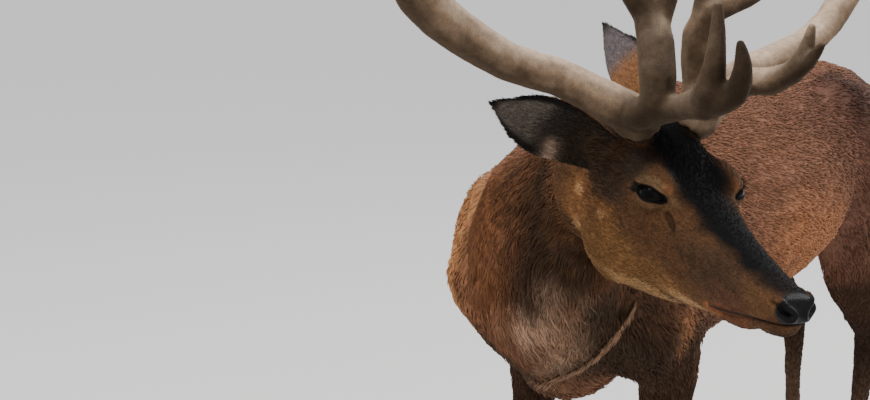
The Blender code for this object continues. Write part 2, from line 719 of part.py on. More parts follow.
def antler(side, word, skull):
    rows_of = dict(antler_rows[word])
    top = np.array(rows_of["beam_upper"][-1])
    for piece, rows in crown_rows.items():
        rows_of[piece] = [tuple(top[:3] + row[:3]) + (top[3] * row[3],) for row in np.array(rows)]

    def place(row):
        return head_point(row[0] / 100, row[1] / 100 * side, row[2] / 100)

    made = {}
    for piece, rows in rows_of.items():
        made[piece] = tube("antler_" + word + "_" + piece, [(*place(r), r[3] / 100) for r in rows])
    for first, second in zip(antler_chain, antler_chain[1:]):
        start, ahead = (place(row) for row in rows_of[second][:2])
        cutter = slab(start, ahead - start, (0.10, 0.10), 2 * gap)
        for piece in (first, second):
            keep_largest(cut(made[piece], cutter))
        remove(cutter)
    keep_largest(cut(made["burr"], skull))
    for piece, hosts in antler_joins.items():
        for host in hosts:
            cutter = grown(made[host], 2 * gap)
            cut(made[piece], cutter)
            remove(cutter)
        cut(made[piece], skull)
        keep_largest(made[piece])
    nearby = bpy.data.objects["ear_" + word]
    for piece in ("burr", "beam_lower", "beam_middle"):
        cutter = grown(made[piece], gap)
        cut(nearby, cutter)
        remove(cutter)
    keep_largest(nearby)


def claw(name, center, leg):
    """One half of a cloven hoof: a flat sole, a steep toe and a low heel."""
    length, half_width, height, count = 0.088, 0.0165, 0.062, 12
    rings = []
    for level in (0.0, 0.3, 1.0):
        z = height * level
        points = []
        for k in range(count):
            angle = 2 * math.pi * k / count
            fore, across = -math.cos(angle), math.sin(angle)
            reach = length / 2 * (1 - 0.22 * level)
            if fore < 0:
                narrow = 1 - 0.30 * fore * fore
            else:
                narrow = 1 - 0.10 * fore * fore
            width = half_width * (1 - 0.06 * level) * narrow
            y = center.y + reach * fore + 0.012 * level - 0.014
            points.append(Vector((center.x + width * across, y, z)))
        rings.append(points)
    made = put(name, loft(rings), "horn")
    top, normal = coronet(leg)
    cutter = slab(top + normal * (0.05 - cut_width / 2), normal, (0.2, 0.2), 0.1)
    cut(made, cutter)
    remove(cutter)
    return made


def feet():
    for leg in steps:
        center = foot(leg)
        for place, word in ((1, "left"), (-1, "right")):
            claw(leg + "_hoof_" + word, center + Vector((0.0172 * place, 0, 0)), leg)


def dewclaws(named):
    """Two small claws behind each pastern."""
    for leg in steps:
        flesh_piece = grown(named[leg + "_pastern"], gap)
        for place, word in ((1, "left"), (-1, "right")):
            center = leg_center(leg, 0.088) + Vector((0.016 * place, 0.028, 0))
            turn = Matrix.Rotation(math.radians(28), 3, "X")
            made = put(leg + "_dewclaw_" + word, blob(center, (0.0095, 0.012, 0.018), turn, 6), "horn")
            cut(made, flesh_piece)
            keep_largest(made)
        remove(flesh_piece)


def stand_on_origin():
    """Move everything so that the middle of the outline's underside is the origin."""
    made = [o for o in collection(collection_name).objects if o.type == "MESH"]
    corners = np.array([tuple(v.co) for o in made for v in o.data.vertices])
    low, high = corners.min(0), corners.max(0)
    shift = Matrix.Translation((-(low[0] + high[0]) / 2, -(low[1] + high[1]) / 2, -low[2]))
    for o in made:
        o.data.transform(shift)


def main():
    for o in list(bpy.data.objects):
        bpy.data.objects.remove(o, do_unlink=True)
    named = part_flesh(flesh())
    eyes(named)
    skull = grown(named["head"], gap)
    ears(skull)
    for side, word in ((1, "left"), (-1, "right")):
        antler(side, word, skull)
    remove(skull)
    feet()
    dewclaws(named)
    stand_on_origin()


main()
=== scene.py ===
import math
import time

import bmesh
import bpy
import numpy as np
from mathutils import Matrix, Vector, noise
from mathutils.bvhtree import BVHTree
from mathutils.kdtree import KDTree


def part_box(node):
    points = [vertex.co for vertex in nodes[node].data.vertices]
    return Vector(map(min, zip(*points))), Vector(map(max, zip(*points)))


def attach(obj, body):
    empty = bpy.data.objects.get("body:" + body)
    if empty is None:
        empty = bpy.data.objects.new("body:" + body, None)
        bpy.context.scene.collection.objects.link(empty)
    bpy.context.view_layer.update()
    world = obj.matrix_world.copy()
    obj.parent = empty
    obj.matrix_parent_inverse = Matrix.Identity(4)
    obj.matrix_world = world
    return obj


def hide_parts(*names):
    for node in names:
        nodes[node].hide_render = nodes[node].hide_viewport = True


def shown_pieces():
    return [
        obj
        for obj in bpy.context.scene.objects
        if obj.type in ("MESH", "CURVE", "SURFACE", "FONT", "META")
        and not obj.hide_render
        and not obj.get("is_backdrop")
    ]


startTime = time.time()
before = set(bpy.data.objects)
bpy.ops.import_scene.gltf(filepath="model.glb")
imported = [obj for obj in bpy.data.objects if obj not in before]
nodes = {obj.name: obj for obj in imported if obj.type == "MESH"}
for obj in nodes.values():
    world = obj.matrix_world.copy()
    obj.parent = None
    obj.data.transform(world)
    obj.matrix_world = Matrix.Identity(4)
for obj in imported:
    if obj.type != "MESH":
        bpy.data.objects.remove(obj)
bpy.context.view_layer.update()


def report(text):
    print(f"{time.time() - startTime:6.1f} s  {text}")


def boxCenter(name):
    low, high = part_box(name)
    return (low + high) / 2


# The head's own axes, from the eyes and the way the stag looks: degrees, and metres from the poll.
headPose = {"yaw": 66.0, "pitch": -18.1, "eyeForward": 0.164, "eyeUp": -0.023}
yaw, pitch = (math.radians(headPose[k]) for k in ("yaw", "pitch"))
eyeMiddle = (boxCenter("eye_left") + boxCenter("eye_right")) / 2
headLeft = (boxCenter("eye_left") - boxCenter("eye_right")).normalized()
headForward = Vector((math.sin(yaw) * math.cos(pitch), -math.cos(yaw) * math.cos(pitch), math.sin(pitch)))
headForward = (headForward - headLeft * headForward.dot(headLeft)).normalized()
headUp = headForward.cross(headLeft)
poll = eyeMiddle - headForward * headPose["eyeForward"] - headUp * headPose["eyeUp"]
headAxes = np.array([headForward, headLeft, headUp])

# The body's own origin: on the floor under the withers, with +X the stag's left and -Y ahead.
foreFeet = (boxCenter("fore_left_pastern") + boxCenter("fore_right_pastern")) / 2
bodyOrigin = np.array([foreFeet.x, foreFeet.y + 0.0465, 0.0])


def toHead(points):
    return (points - np.array(poll)) @ headAxes.T


def fromHead(local):
    return np.array(poll) + local @ headAxes


def toBody(points):
    return points - bodyOrigin


def foldSides(points, axis):
    # both sides laid on the left one
    points = points.copy()
    points[:, axis] = np.abs(points[:, axis])
    return points


def farFrom(points, place, size=1.0):
    # how far points are from a place, in units of its size
    return np.linalg.norm((points - np.array(place)) / size, axis=1)


def unit(vectors):
    return vectors / np.maximum(np.linalg.norm(vectors, axis=1), 1e-9)[:, None]


def onSurface(ways, outward):
    # the part of each way that runs along the surface
    return ways - outward * np.sum(ways * outward, 1)[:, None]


def smoothStep(low, high, values):
    t = np.clip((values - low) / (high - low), 0, 1)
    return t * t * (3 - 2 * t)


def hump(values, width, middle=0.0):
    # 1 in the middle, nearly 0 at twice the width from it
    return np.exp(-((values - middle) / width) ** 2)


def mixed(tones, aim, share):
    # colours moved towards another one, by a share at each point
    return tones + (aim - tones) * share[:, None]


def color(red, green, blue):
    # everyday 0-255 values to the linear ones that shaders use
    values = np.array([red, green, blue]) / 255
    return np.where(values <= 0.04045, values / 12.92, ((values + 0.055) / 1.055) ** 2.4)


# Camera: azimuth and pitch in degrees, lens in mm, place in metres from the poll.
cameraPlace = {"azimuth": 40.0, "pitch": 12.3, "lens": 55.86, "right": 0.273, "above": 0.109, "back": 1.890}


def placeCamera():
    azimuth, down = math.radians(cameraPlace["azimuth"]), math.radians(cameraPlace["pitch"])
    right = Vector((math.cos(azimuth), math.sin(azimuth), 0))
    level = Vector((math.sin(azimuth), -math.cos(azimuth), 0))
    back = level * math.cos(down) + Vector((0, 0, math.sin(down)))
    above = back.cross(right)
    camera = newObject("camera", bpy.data.cameras.new("camera"))
    camera.data.lens = cameraPlace["lens"]
    camera.data.sensor_width = 36
    camera.matrix_world = Matrix((right, above, back)).transposed().to_4x4()
    camera.location = (poll - right * cameraPlace["right"] - above * cameraPlace["above"]
                       + back * cameraPlace["back"])
    bpy.context.scene.camera = camera


# The studio: colours, the sky's strength and where the lamps look; then each lamp's place, size and watts.
stageLook = {"floor": (0.80, 0.79, 0.77), "floorRoughness": 0.9, "floorReach": 60,
             "sky": (0.97, 0.975, 1.0), "skyStrength": 1.08, "aim": (0.1, -0.3, 1.0)}
studioLamps = {
    "key": ((-0.6, -2.4, 4.2), 1.6, 135.0),
    "fill": ((3.6, -2.2, 1.8), 2.4, 10.0),
    "rim": ((1.2, 3.4, 3.2), 1.8, 90.0),
}


def makeStage():
    plane = bmesh.new()
    bmesh.ops.create_grid(plane, x_segments=1, y_segments=1, size=stageLook["floorReach"])
    floor = newObject("floor", meshFrom(plane, "floor"))
    paint = bpy.data.materials.new("paleFloor")
    paint.use_nodes = True
    shader = paint.node_tree.nodes["Principled BSDF"]
    shader.inputs["Base Color"].default_value = (*stageLook["floor"], 1)
    shader.inputs["Roughness"].default_value = stageLook["floorRoughness"]
    floor.data.materials.append(paint)
    floor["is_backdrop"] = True
    world = bpy.data.worlds.new("studio")
    world.use_nodes = True
    sky = world.node_tree.nodes["Background"]
    sky.inputs["Color"].default_value = (*stageLook["sky"], 1)
    sky.inputs["Strength"].default_value = stageLook["skyStrength"]
    bpy.context.scene.world = world
    for name, (place, size, watts) in studioLamps.items():
        lamp = bpy.data.lights.new(name, "AREA")
        lamp.energy = watts
        lamp.size = size
        light = newObject(name, lamp)
        light.location = place
        look = Vector(stageLook["aim"]) - Vector(place)
        light.rotation_euler = look.to_track_quat("-Z", "Y").to_euler()


def newObject(name, data):
    made = bpy.data.objects.new(name, data)
    bpy.context.scene.collection.objects.link(made)
    return made


def meshFrom(form, name):
    # a finished bmesh as a mesh of its own
    mesh = bpy.data.meshes.new(name)
    form.to_mesh(mesh)
    form.free()
    return mesh


def applied(made):
    # the object with its modifiers made into mesh
    bpy.context.view_layer.update()
    evaluated = made.evaluated_get(bpy.context.evaluated_depsgraph_get())
    mesh = bpy.data.meshes.new_from_object(evaluated)
    old = made.data
    made.modifiers.clear()
    made.data = mesh
    bpy.data.meshes.remove(old)
    return made


def readVectors(items, name):
    values = np.empty(len(items) * 3, np.float32)
    items.foreach_get(name, values)
    return values.reshape(-1, 3).astype(float)


def coordinates(mesh):
    return readVectors(mesh.vertices, "co")


def normals(mesh):
    return readVectors(mesh.vertex_normals, "vector")


def setCoordinates(mesh, points):
    mesh.vertices.foreach_set("co", points.astype(np.float32).ravel())
    mesh.update()


def setGroup(made, name, weights, steps=20):
    group = made.vertex_groups.new(name=name)
    levels = np.round(np.clip(weights, 0, 1) * steps).astype(int)
    for level in range(1, steps + 1):
        members = np.nonzero(levels == level)[0]
        if len(members):
            group.add(members.tolist(), level / steps, "REPLACE")


def addJoin(made, voxel):
    join = made.modifiers.new("join", "REMESH")
    join.mode = "VOXEL"
    join.voxel_size = voxel


def addSmooth(made, turns, group=""):
    soften = made.modifiers.new("soften", "SMOOTH")
    soften.factor = 0.5
    soften.iterations = turns
    soften.vertex_group = group


def addThinning(made, ratio):
    thin = made.modifiers.new("thin", "DECIMATE")
    thin.ratio = ratio
    return thin


def setColors(mesh, colors):
    layer = mesh.color_attributes.new("coat", "FLOAT_COLOR", "POINT")
    values = np.ones((len(colors), 4), np.float32)
    values[:, :3] = np.clip(colors, 0, 1)
    layer.data.foreach_set("color", values.ravel())


def dress(mesh, material):
    mesh.polygons.foreach_set("use_smooth", np.ones(len(mesh.polygons), bool))
    mesh.materials.append(material)


def surfaceTree(mesh):
    return BVHTree.FromPolygons([v.co for v in mesh.vertices], [p.vertices[:] for p in mesh.polygons])


def mergedParts(names, overlap, rounds=0):
    # copies of CAD nodes, merged, rounded and slightly swollen so that they meet, in one bmesh
    whole = bmesh.new()
    for name in names:
        part = bmesh.new()
        part.from_mesh(nodes[name].data)
        bmesh.ops.remove_doubles(part, verts=part.verts, dist=0.00002)
        if rounds:
            bmesh.ops.join_triangles(part, faces=part.faces, angle_face_threshold=0.6,
                                     angle_shape_threshold=0.9)
            carrier = newObject("carrier", bpy.data.meshes.new("part"))
            part.to_mesh(carrier.data)
            rounding = carrier.modifiers.new("round", "SUBSURF")
            rounding.levels = rounding.render_levels = rounds
            rounded = applied(carrier).data
            part.clear()
            part.from_mesh(rounded)
            bpy.data.objects.remove(carrier)
            bpy.data.meshes.remove(rounded)
        part.normal_update()
        for vert in part.verts:
            vert.co += vert.normal * overlap
        mesh = meshFrom(part, "part")
        whole.from_mesh(mesh)
        bpy.data.meshes.remove(mesh)
    return whole


earNames = ("ear_left", "ear_right")
legNames = ("_forearm", "_gaskin", "_cannon", "_pastern")
fleshNodes = [n for n in nodes if n in ("head", "neck", "trunk", "tail", *earNames) or n.endswith(legNames)]

# The skin: sizes in metres. Depths are how far it lies under the tips of the coat.
skinMaking = {
    "overlap": 0.0012, "voxel": 0.0037, "bodyTurns": 100, "allTurns": 10, "faces": 138000,
    "bodyDepth": 0.0050, "neckDepth": 0.0110, "legDepth": 0.0025, "headDepth": 0.0012, "earDepth": 0.0004,
    "bodyThinning": 1.0, "legThinning": 0.55, "headThinning": 0.10, "earThinning": 0.06,
}


def nearestNodes(points):
    # the flesh node that each point lies nearest to
    corners, faces, owner = [], [], []
    for index, name in enumerate(fleshNodes):
        mesh = nodes[name].data
        first = len(corners)
        corners += [v.co for v in mesh.vertices]
        for face in mesh.polygons:
            faces.append([first + i for i in face.vertices])
            owner.append(index)
    tree = BVHTree.FromPolygons(corners, faces)
    return np.array([owner[tree.find_nearest(Vector(p))[2]] for p in points])


def isNamed(labels, *endings):
    wanted = [i for i, n in enumerate(fleshNodes) if n.endswith(endings)]
    return np.isin(labels, wanted)


def edgeList(mesh):
    values = np.empty(len(mesh.edges) * 2, np.int32)
    mesh.edges.foreach_get("vertices", values)
    return values.reshape(-1, 2)


def spread(values, edges, turns):
    # lets values at the points flow into their neighbours
    values = values.reshape(len(values), -1).astype(float)
    first, second = edges.T
    count = np.bincount(first, minlength=len(values)) + np.bincount(second, minlength=len(values))
    count = np.maximum(count, 1)[:, None]
    for _ in range(turns):
        total = np.stack([np.bincount(first, values[second, k], len(values))
                          + np.bincount(second, values[first, k], len(values))
                          for k in range(values.shape[1])], 1)
        values = 0.5 * values + 0.5 * total / count
    return values


def partShares(labels, edges, turns):
    # how far each point belongs to the head, the neck, the ears, and the legs with the tail
    flags = [isNamed(labels, *names) for names in (("head",), ("neck",), earNames, (*legNames, "tail"))]
    return spread(np.stack(flags, 1), edges, turns).T


def makeSkinForm():
    whole = mergedParts(fleshNodes + ["eye_left", "eye_right"], skinMaking["overlap"])
    skin = newObject("skin", meshFrom(whole, "skin"))
    addJoin(skin, skinMaking["voxel"])
    applied(skin)
    report(f"skin joined, {len(skin.data.vertices)} points")
    labels = nearestNodes(coordinates(skin.data))
    head, _, ear, leg = partShares(labels, edgeList(skin.data), 12)
    torso = np.clip(1 - ear - head - leg, 0, 1)
    setGroup(skin, "torso", torso)
    setGroup(skin, "all", 1 - 0.80 * ear - 0.10 * head)
    thinning = (skinMaking["earThinning"] * ear + skinMaking["headThinning"] * head
                + skinMaking["legThinning"] * leg + skinMaking["bodyThinning"] * torso)
    setGroup(skin, "thin", thinning)
    addSmooth(skin, skinMaking["bodyTurns"], "torso")
    addSmooth(skin, skinMaking["allTurns"], "all")
    thin = addThinning(skin, skinMaking["faces"] / (2 * len(skin.data.polygons)))
    thin.vertex_group = "thin"
    thin.vertex_group_factor = 0.7
    applied(skin)
    skin.vertex_groups.clear()
    report(f"skin smoothed, {len(skin.data.polygons)} faces")
    return skin


# The eye, on the left side of the head: its centre and radius, the ways it looks and to its front corner,
# its opening's half length and heights, the lids' thickness and the gap behind them, how round the opening
# is, and the cornea's bulge.
eyeMaking = {
    "center": (0.164, 0.0605, -0.023), "radius": 0.0205, "out": (0.38, 0.87, 0.30),
    "front": (0.84, -0.54, -0.02), "halfLength": 0.0225, "upper": 0.0080, "lower": 0.0062,
    "lid": 0.0024, "behind": 0.0070, "roundness": 1.7, "bulge": 0.035, "gap": 0.0002,
}


def eyeAxes():
    # the ways it looks, to its front corner and up
    out = np.array(eyeMaking["out"]) / np.linalg.norm(eyeMaking["out"])
    front = np.array(eyeMaking["front"])
    front = front - out * front.dot(out)
    front /= np.linalg.norm(front)
    above = np.cross(front, out)
    return out, front, above * np.sign(above[2])


def eyeReach(local, side):
    return farFrom(local * [1, side, 1], eyeMaking["center"])


def lidDistance(local, side):
    # how far points are outside the opening of an eye, their height over its slit, how far they are
    # along it, how much they face the way it looks, and their reach from its centre
    out, front, above = eyeAxes()
    offset = local * [1, side, 1] - np.array(eyeMaking["center"])
    reach = np.linalg.norm(offset, axis=1)
    toward = offset / reach[:, None]
    facing = toward @ out
    along = np.arctan2(toward @ front, facing) * eyeMaking["radius"]
    height = np.arcsin(np.clip(toward @ above, -1, 1)) * eyeMaking["radius"]
    tall = np.where(height > 0, eyeMaking["upper"], eyeMaking["lower"])
    power = eyeMaking["roundness"]
    ratio = (np.abs(along / eyeMaking["halfLength"]) ** power + np.abs(height / tall) ** power) ** (1 / power)
    distance = np.hypot(along, height) * (1 - 1 / np.maximum(ratio, 1e-4))
    return distance, height, along, facing, reach


def refine(mesh, isInside):
    # halves the faces where isInside says so
    chosen = isInside(toHead(coordinates(mesh)))
    form = bmesh.new()
    form.from_mesh(mesh)
    edges = [e for e in form.edges if chosen[e.verts[0].index] and chosen[e.verts[1].index]]
    bmesh.ops.subdivide_edges(form, edges=edges, cuts=1, smooth=0.4)
    bmesh.ops.triangulate(form, faces=[f for f in form.faces if len(f.verts) > 3])
    form.to_mesh(mesh)
    form.free()


# Lines on the head, forward, left and up; the mouth's has no left.
mouthLine = [(0.420, -0.064), (0.405, -0.070), (0.385, -0.076), (0.350, -0.089), (0.312, -0.105),
             (0.290, -0.114)]
nostrilLine = [(0.410, 0.016, -0.054), (0.406, 0.025, -0.049), (0.399, 0.031, -0.043),
               (0.390, 0.033, -0.045)]
tearLine = [(0.197, 0.058, -0.033), (0.208, 0.057, -0.040), (0.218, 0.055, -0.049)]


def nearLine(points, line):
    # distance from points to a line of corners, and how far along it the nearest place is
    best = np.full(len(points), 1e9)
    share = np.zeros(len(points))
    line = np.array(line, float)
    for k in range(len(line) - 1):
        start, way = line[k], line[k + 1] - line[k]
        t = np.clip((points - start) @ way / way.dot(way), 0, 1)
        off = np.linalg.norm(points - start - t[:, None] * way, axis=1)
        closer = off < best
        best[closer] = off[closer]
        share[closer] = (k + t[closer]) / (len(line) - 1)
    return best, share


# How near the eyes and lines the skin gets finer faces, and where the muzzle starts.
fineMaking = {"eyeRound": 0.036, "eye": 0.031, "mouth": 0.007, "nostril": 0.014, "tear": 0.012,
              "muzzleFrom": 0.275, "lipsFrom": 0.28}


def mouthDistance(local):
    return nearLine(local[:, [0, 2]], mouthLine)[0]


def nearEyes(local, reach):
    return (eyeReach(local, 1) < reach) | (eyeReach(local, -1) < reach)


def nearFace(local):
    muzzle = (local[:, 0] > fineMaking["muzzleFrom"]) & (local[:, 2] < 0)
    return nearEyes(local, fineMaking["eyeRound"]) | muzzle


def nearDetail(local):
    both = foldSides(local, 1)
    lips = (local[:, 0] > fineMaking["lipsFrom"]) & (mouthDistance(local) < fineMaking["mouth"])
    nostril = nearLine(both, nostrilLine)[0] < fineMaking["nostril"]
    tear = nearLine(both, tearLine)[0] < fineMaking["tear"]
    return nearEyes(local, fineMaking["eye"]) | nostril | tear | lips


# Forms of the head: place (the same on both sides), reach, and how far it moves out.
headForms = [
    ((0.340, 0.000, -0.115), (0.060, 0.040, 0.025), 0.0065),  # lower jaw under the lips
    ((0.395, 0.000, -0.100), (0.030, 0.030, 0.020), 0.0020),  # chin
    ((0.330, 0.040, -0.075), (0.050, 0.025, 0.020), 0.0025),  # upper lip
    ((0.250, 0.050, -0.050), (0.060, 0.020, 0.022), -0.0030),  # hollow before the cheek
    ((0.200, 0.062, -0.078), (0.070, 0.020, 0.012), 0.0022),  # ridge of the cheek bone
    ((0.110, 0.072, -0.015), (0.030, 0.020, 0.020), -0.0030),  # temple
]

# The grooves of the face, in metres: depth and width, how high their edges stand, how far from the middle
# of the groove that edge is, and its width. The mouth has lips, and fades out towards the cheek.
headPlace = {"center": (0.2, 0, -0.08), "reach": 0.34}
mouthMaking = {"depth": 0.0042, "width": 0.0021, "fade": (0.286, 0.300), "lipWidth": 0.004,
               "lower": 0.0008, "lowerAt": 0.004, "upper": 0.0012, "upperAt": -0.005}
nostrilMaking = {"depth": 0.0075, "width": 0.0024, "wider": 0.0016, "edge": 0.0016, "edgeAt": 0.0080}
tearMaking = {"depth": 0.0045, "width": 0.0028, "edge": 0.0016, "edgeAt": 0.0070}
edgeWidth = 0.0030
chinDrop = {"amount": 0.0075, "at": 0.338, "length": 0.040, "from": (-0.070, -0.105)}
lidMaking = {"facing": 0.15, "width": 0.022, "reach": 0.045, "edge": (-0.0012, 0.0006), "run": (0.004, 0.013),
             "upperCrease": 0.0016, "lowerCrease": 0.0011, "creaseAt": 0.0078, "creaseWidth": 0.0017,
             "fade": (0.016, 0.022)}
formSharpness = 1.4


def formShift(points, forms):
    # how far out the forms move each point
    shift = np.zeros(len(points))
    for place, size, amount in forms:
        shift += amount * np.exp(-farFrom(points, place, size) ** 2 * formSharpness)
    return shift


def carveHead(skin):
    mesh = skin.data
    refine(mesh, nearFace)
    refine(mesh, nearDetail)
    points, outward = coordinates(mesh), normals(mesh)
    local = toHead(points)
    both = foldSides(local, 1)
    head = farFrom(local, headPlace["center"]) < headPlace["reach"]
    shift = formShift(both, headForms)
    # mouth, with the lower lip drawn in
    off = mouthDistance(local)
    forward, height = np.array(mouthLine[::-1]).T
    below = np.interp(local[:, 0], forward, height) - local[:, 2]
    fade, lipWidth = smoothStep(*mouthMaking["fade"], local[:, 0]), mouthMaking["lipWidth"]
    shift -= fade * mouthMaking["depth"] * hump(off, mouthMaking["width"])
    shift -= fade * (below > 0) * mouthMaking["lower"] * hump(below, lipWidth, mouthMaking["lowerAt"])
    shift += fade * (below < 0) * mouthMaking["upper"] * hump(below, lipWidth, mouthMaking["upperAt"])
    # nostrils, wider in their middle
    off, share = nearLine(both, nostrilLine)
    wide = nostrilMaking["width"] + nostrilMaking["wider"] * np.sin(np.pi * np.clip(share + 0.15, 0, 1))
    shift -= nostrilMaking["depth"] * hump(off, wide)
    shift += nostrilMaking["edge"] * hump(off, edgeWidth, nostrilMaking["edgeAt"])
    # the slit of the gland in front of the eye
    off = nearLine(both, tearLine)[0]
    shift -= tearMaking["depth"] * hump(off, tearMaking["width"])
    shift += tearMaking["edge"] * hump(off, edgeWidth, tearMaking["edgeAt"])
    points += outward * np.where(head, shift, 0)[:, None]
    # the lower jaw a little deeper, and then the lids
    local = toHead(points)
    drop = chinDrop["amount"] * hump(local[:, 0], chinDrop["length"], chinDrop["at"])
    local[:, 2] -= np.where(head, drop * smoothStep(*chinDrop["from"], local[:, 2]), 0)
    for side in (1, -1):
        local = carveEye(local, head, side)
    points = np.where(head[:, None], fromHead(local), points)
    setCoordinates(mesh, points)
    report(f"head carved, {len(mesh.polygons)} faces")


def carveEye(local, head, side):
    # opens the lids over the ball, with a crease round them
    distance, height, _, front, reach = lidDistance(local, side)
    near = head & (front > lidMaking["facing"])
    near &= (distance < lidMaking["width"]) & (reach < lidMaking["reach"])
    rim = eyeMaking["radius"] + eyeMaking["lid"]
    outer = rim + (np.maximum(reach, rim) - rim) * smoothStep(*lidMaking["run"], distance)
    crease = np.where(height > 0, lidMaking["upperCrease"], lidMaking["lowerCrease"])
    outer -= crease * hump(distance, lidMaking["creaseWidth"], lidMaking["creaseAt"])
    lidded = smoothStep(*lidMaking["edge"], distance)
    radius = (eyeMaking["radius"] - eyeMaking["behind"]) * (1 - lidded) + outer * lidded
    keep = smoothStep(*lidMaking["fade"], distance)
    radius = radius * (1 - keep) + reach * keep
    center = np.array(eyeMaking["center"]) * [1, side, 1]
    moved = center + (local - center) * (radius / reach)[:, None]
    return np.where(near[:, None], moved, local)


# Hollows and swellings of the body under the coat, in the same way.
bodyForms = [
    ((0.200, 0.640, 0.960), (0.10, 0.11, 0.12), -0.016),  # hollow of the flank
    ((0.220, 0.110, 0.860), (0.10, 0.07, 0.16), -0.010),  # behind the shoulder
    ((0.200, -0.060, 0.940), (0.10, 0.08, 0.17), 0.006),  # shoulder
    ((0.190, 0.850, 0.900), (0.09, 0.13, 0.13), 0.006),  # haunch
    ((0.050, 0.450, 1.150), (0.06, 0.35, 0.05), -0.006),  # beside the spine
    ((0.150, -0.200, 1.020), (0.07, 0.06, 0.10), -0.010),  # where neck meets shoulder
]

# The edge of the throat's long hair, from under the jaw down to the brisket.
throatLine = [(0.201, -0.194, 0.870), (0.191, -0.207, 0.836), (0.173, -0.213, 0.806), (0.141, -0.208, 0.767),
              (0.103, -0.198, 0.733), (0.062, -0.190, 0.705), (0.020, -0.181, 0.682), (-0.023, -0.178, 0.671)]

# The part of the cheek that runs into the neck.
cheekMaking = {"place": (0.055, 0.068, -0.175), "size": (0.050, 0.045, 0.060), "strength": 0.8}


def softenHead(skin, labels):
    # narrows the root of each ear into a tube, and lets the cheeks run into the neck
    mesh = skin.data
    points = coordinates(mesh)
    local = toHead(points)
    edges = edgeList(mesh)
    weight = np.zeros(len(points))
    for name in earPlaces:
        share = earShare(local, name)
        weight += isNamed(labels, name) * smoothStep(0.46, 0.28, share) * smoothStep(0.02, 0.10, share)
    for side in (1, -1):
        off = farFrom(local * [1, side, 1], cheekMaking["place"], cheekMaking["size"])
        weight += cheekMaking["strength"] * smoothStep(1.2, 0.6, off)
    weight = np.clip(spread(weight, edges, 4), 0, 1)
    for _ in range(12):
        points += (spread(points, edges, 3) - points) * weight
    setCoordinates(mesh, points)


# The ridge along the throat's edge and the ribs, in metres.
throatMaking = {"height": 0.007, "width": 0.014}
ribMaking = {"height": 0.0011, "spacing": 0.052, "lean": 9}


def shapeBody(skin):
    mesh = skin.data
    points, outward = coordinates(mesh), normals(mesh)
    body = toBody(points)
    labels = nearestNodes(points)
    head, neck, ear, leg = partShares(labels, edgeList(mesh), 14)
    trunk = np.clip(1 - head - neck - ear - leg, 0, 1)
    shift = formShift(foldSides(body, 0), bodyForms)
    shift += throatMaking["height"] * hump(nearLine(body, throatLine)[0], throatMaking["width"])
    ribs = np.sin(body[:, 1] * 2 * math.pi / ribMaking["spacing"] + body[:, 2] * ribMaking["lean"])
    ribs *= smoothStep(0.16, 0.24, body[:, 1]) * smoothStep(0.56, 0.46, body[:, 1])
    ribs *= smoothStep(1.08, 0.98, body[:, 2]) * smoothStep(0.70, 0.78, body[:, 2])
    shift = (shift + ribMaking["height"] * ribs) * (trunk + neck)
    depth = (trunk * skinMaking["bodyDepth"] + neck * skinMaking["neckDepth"] + leg * skinMaking["legDepth"]
             + head * skinMaking["headDepth"] + ear * skinMaking["earDepth"]) + skinMaking["overlap"]
    points += outward * (shift - depth)[:, None]
    setCoordinates(mesh, points)
    return labels


# Colours of the coat.
rust, rustDark = color(130, 90, 68), color(92, 62, 50)
rustGrey, rustDeepShade = color(108, 80, 68), color(56, 40, 34)
orange, paintedLightOrange = color(168, 112, 74), color(198, 136, 90)
paleBuff, belly = color(186, 148, 104), color(100, 72, 54)
neckBrown, neckRimLightOrange = color(96, 60, 36), color(160, 112, 72)
neckDark, neckWarm = color(48, 34, 22), color(110, 68, 38)
throat, throatPale, brisket = color(136, 106, 83), color(186, 150, 124), color(53, 38, 25)
legBrown, legDark, shank = color(66, 45, 32), color(46, 32, 24), color(82, 62, 47)
cheek, cheekTan = color(74, 50, 31), color(124, 84, 50)
jawTan, jawBrown = color(156, 122, 82), color(108, 76, 44)
faceBlack, faceGrey, muzzle = color(13, 12, 12), color(42, 33, 26), color(74, 48, 34)
muzzleRed, noseBlack, lidBlack = color(100, 58, 38), color(16, 16, 17), color(8, 7, 7)
eyeTan, browOrange = color(104, 82, 58), color(128, 78, 46)
earRim, earCavityShade, earMauve = color(24, 21, 20), color(44, 38, 34), color(112, 102, 102)
earPale, earGrey, fleck = color(150, 124, 106), color(84, 76, 68), color(178, 138, 96)

# What each part starts from; the legs shade from brown to dark on the way down.
baseColors = {"head": cheek, "neck": neckBrown, "trunk": rust, "tail": rust,
              "ear_left": earRim, "ear_right": earRim}

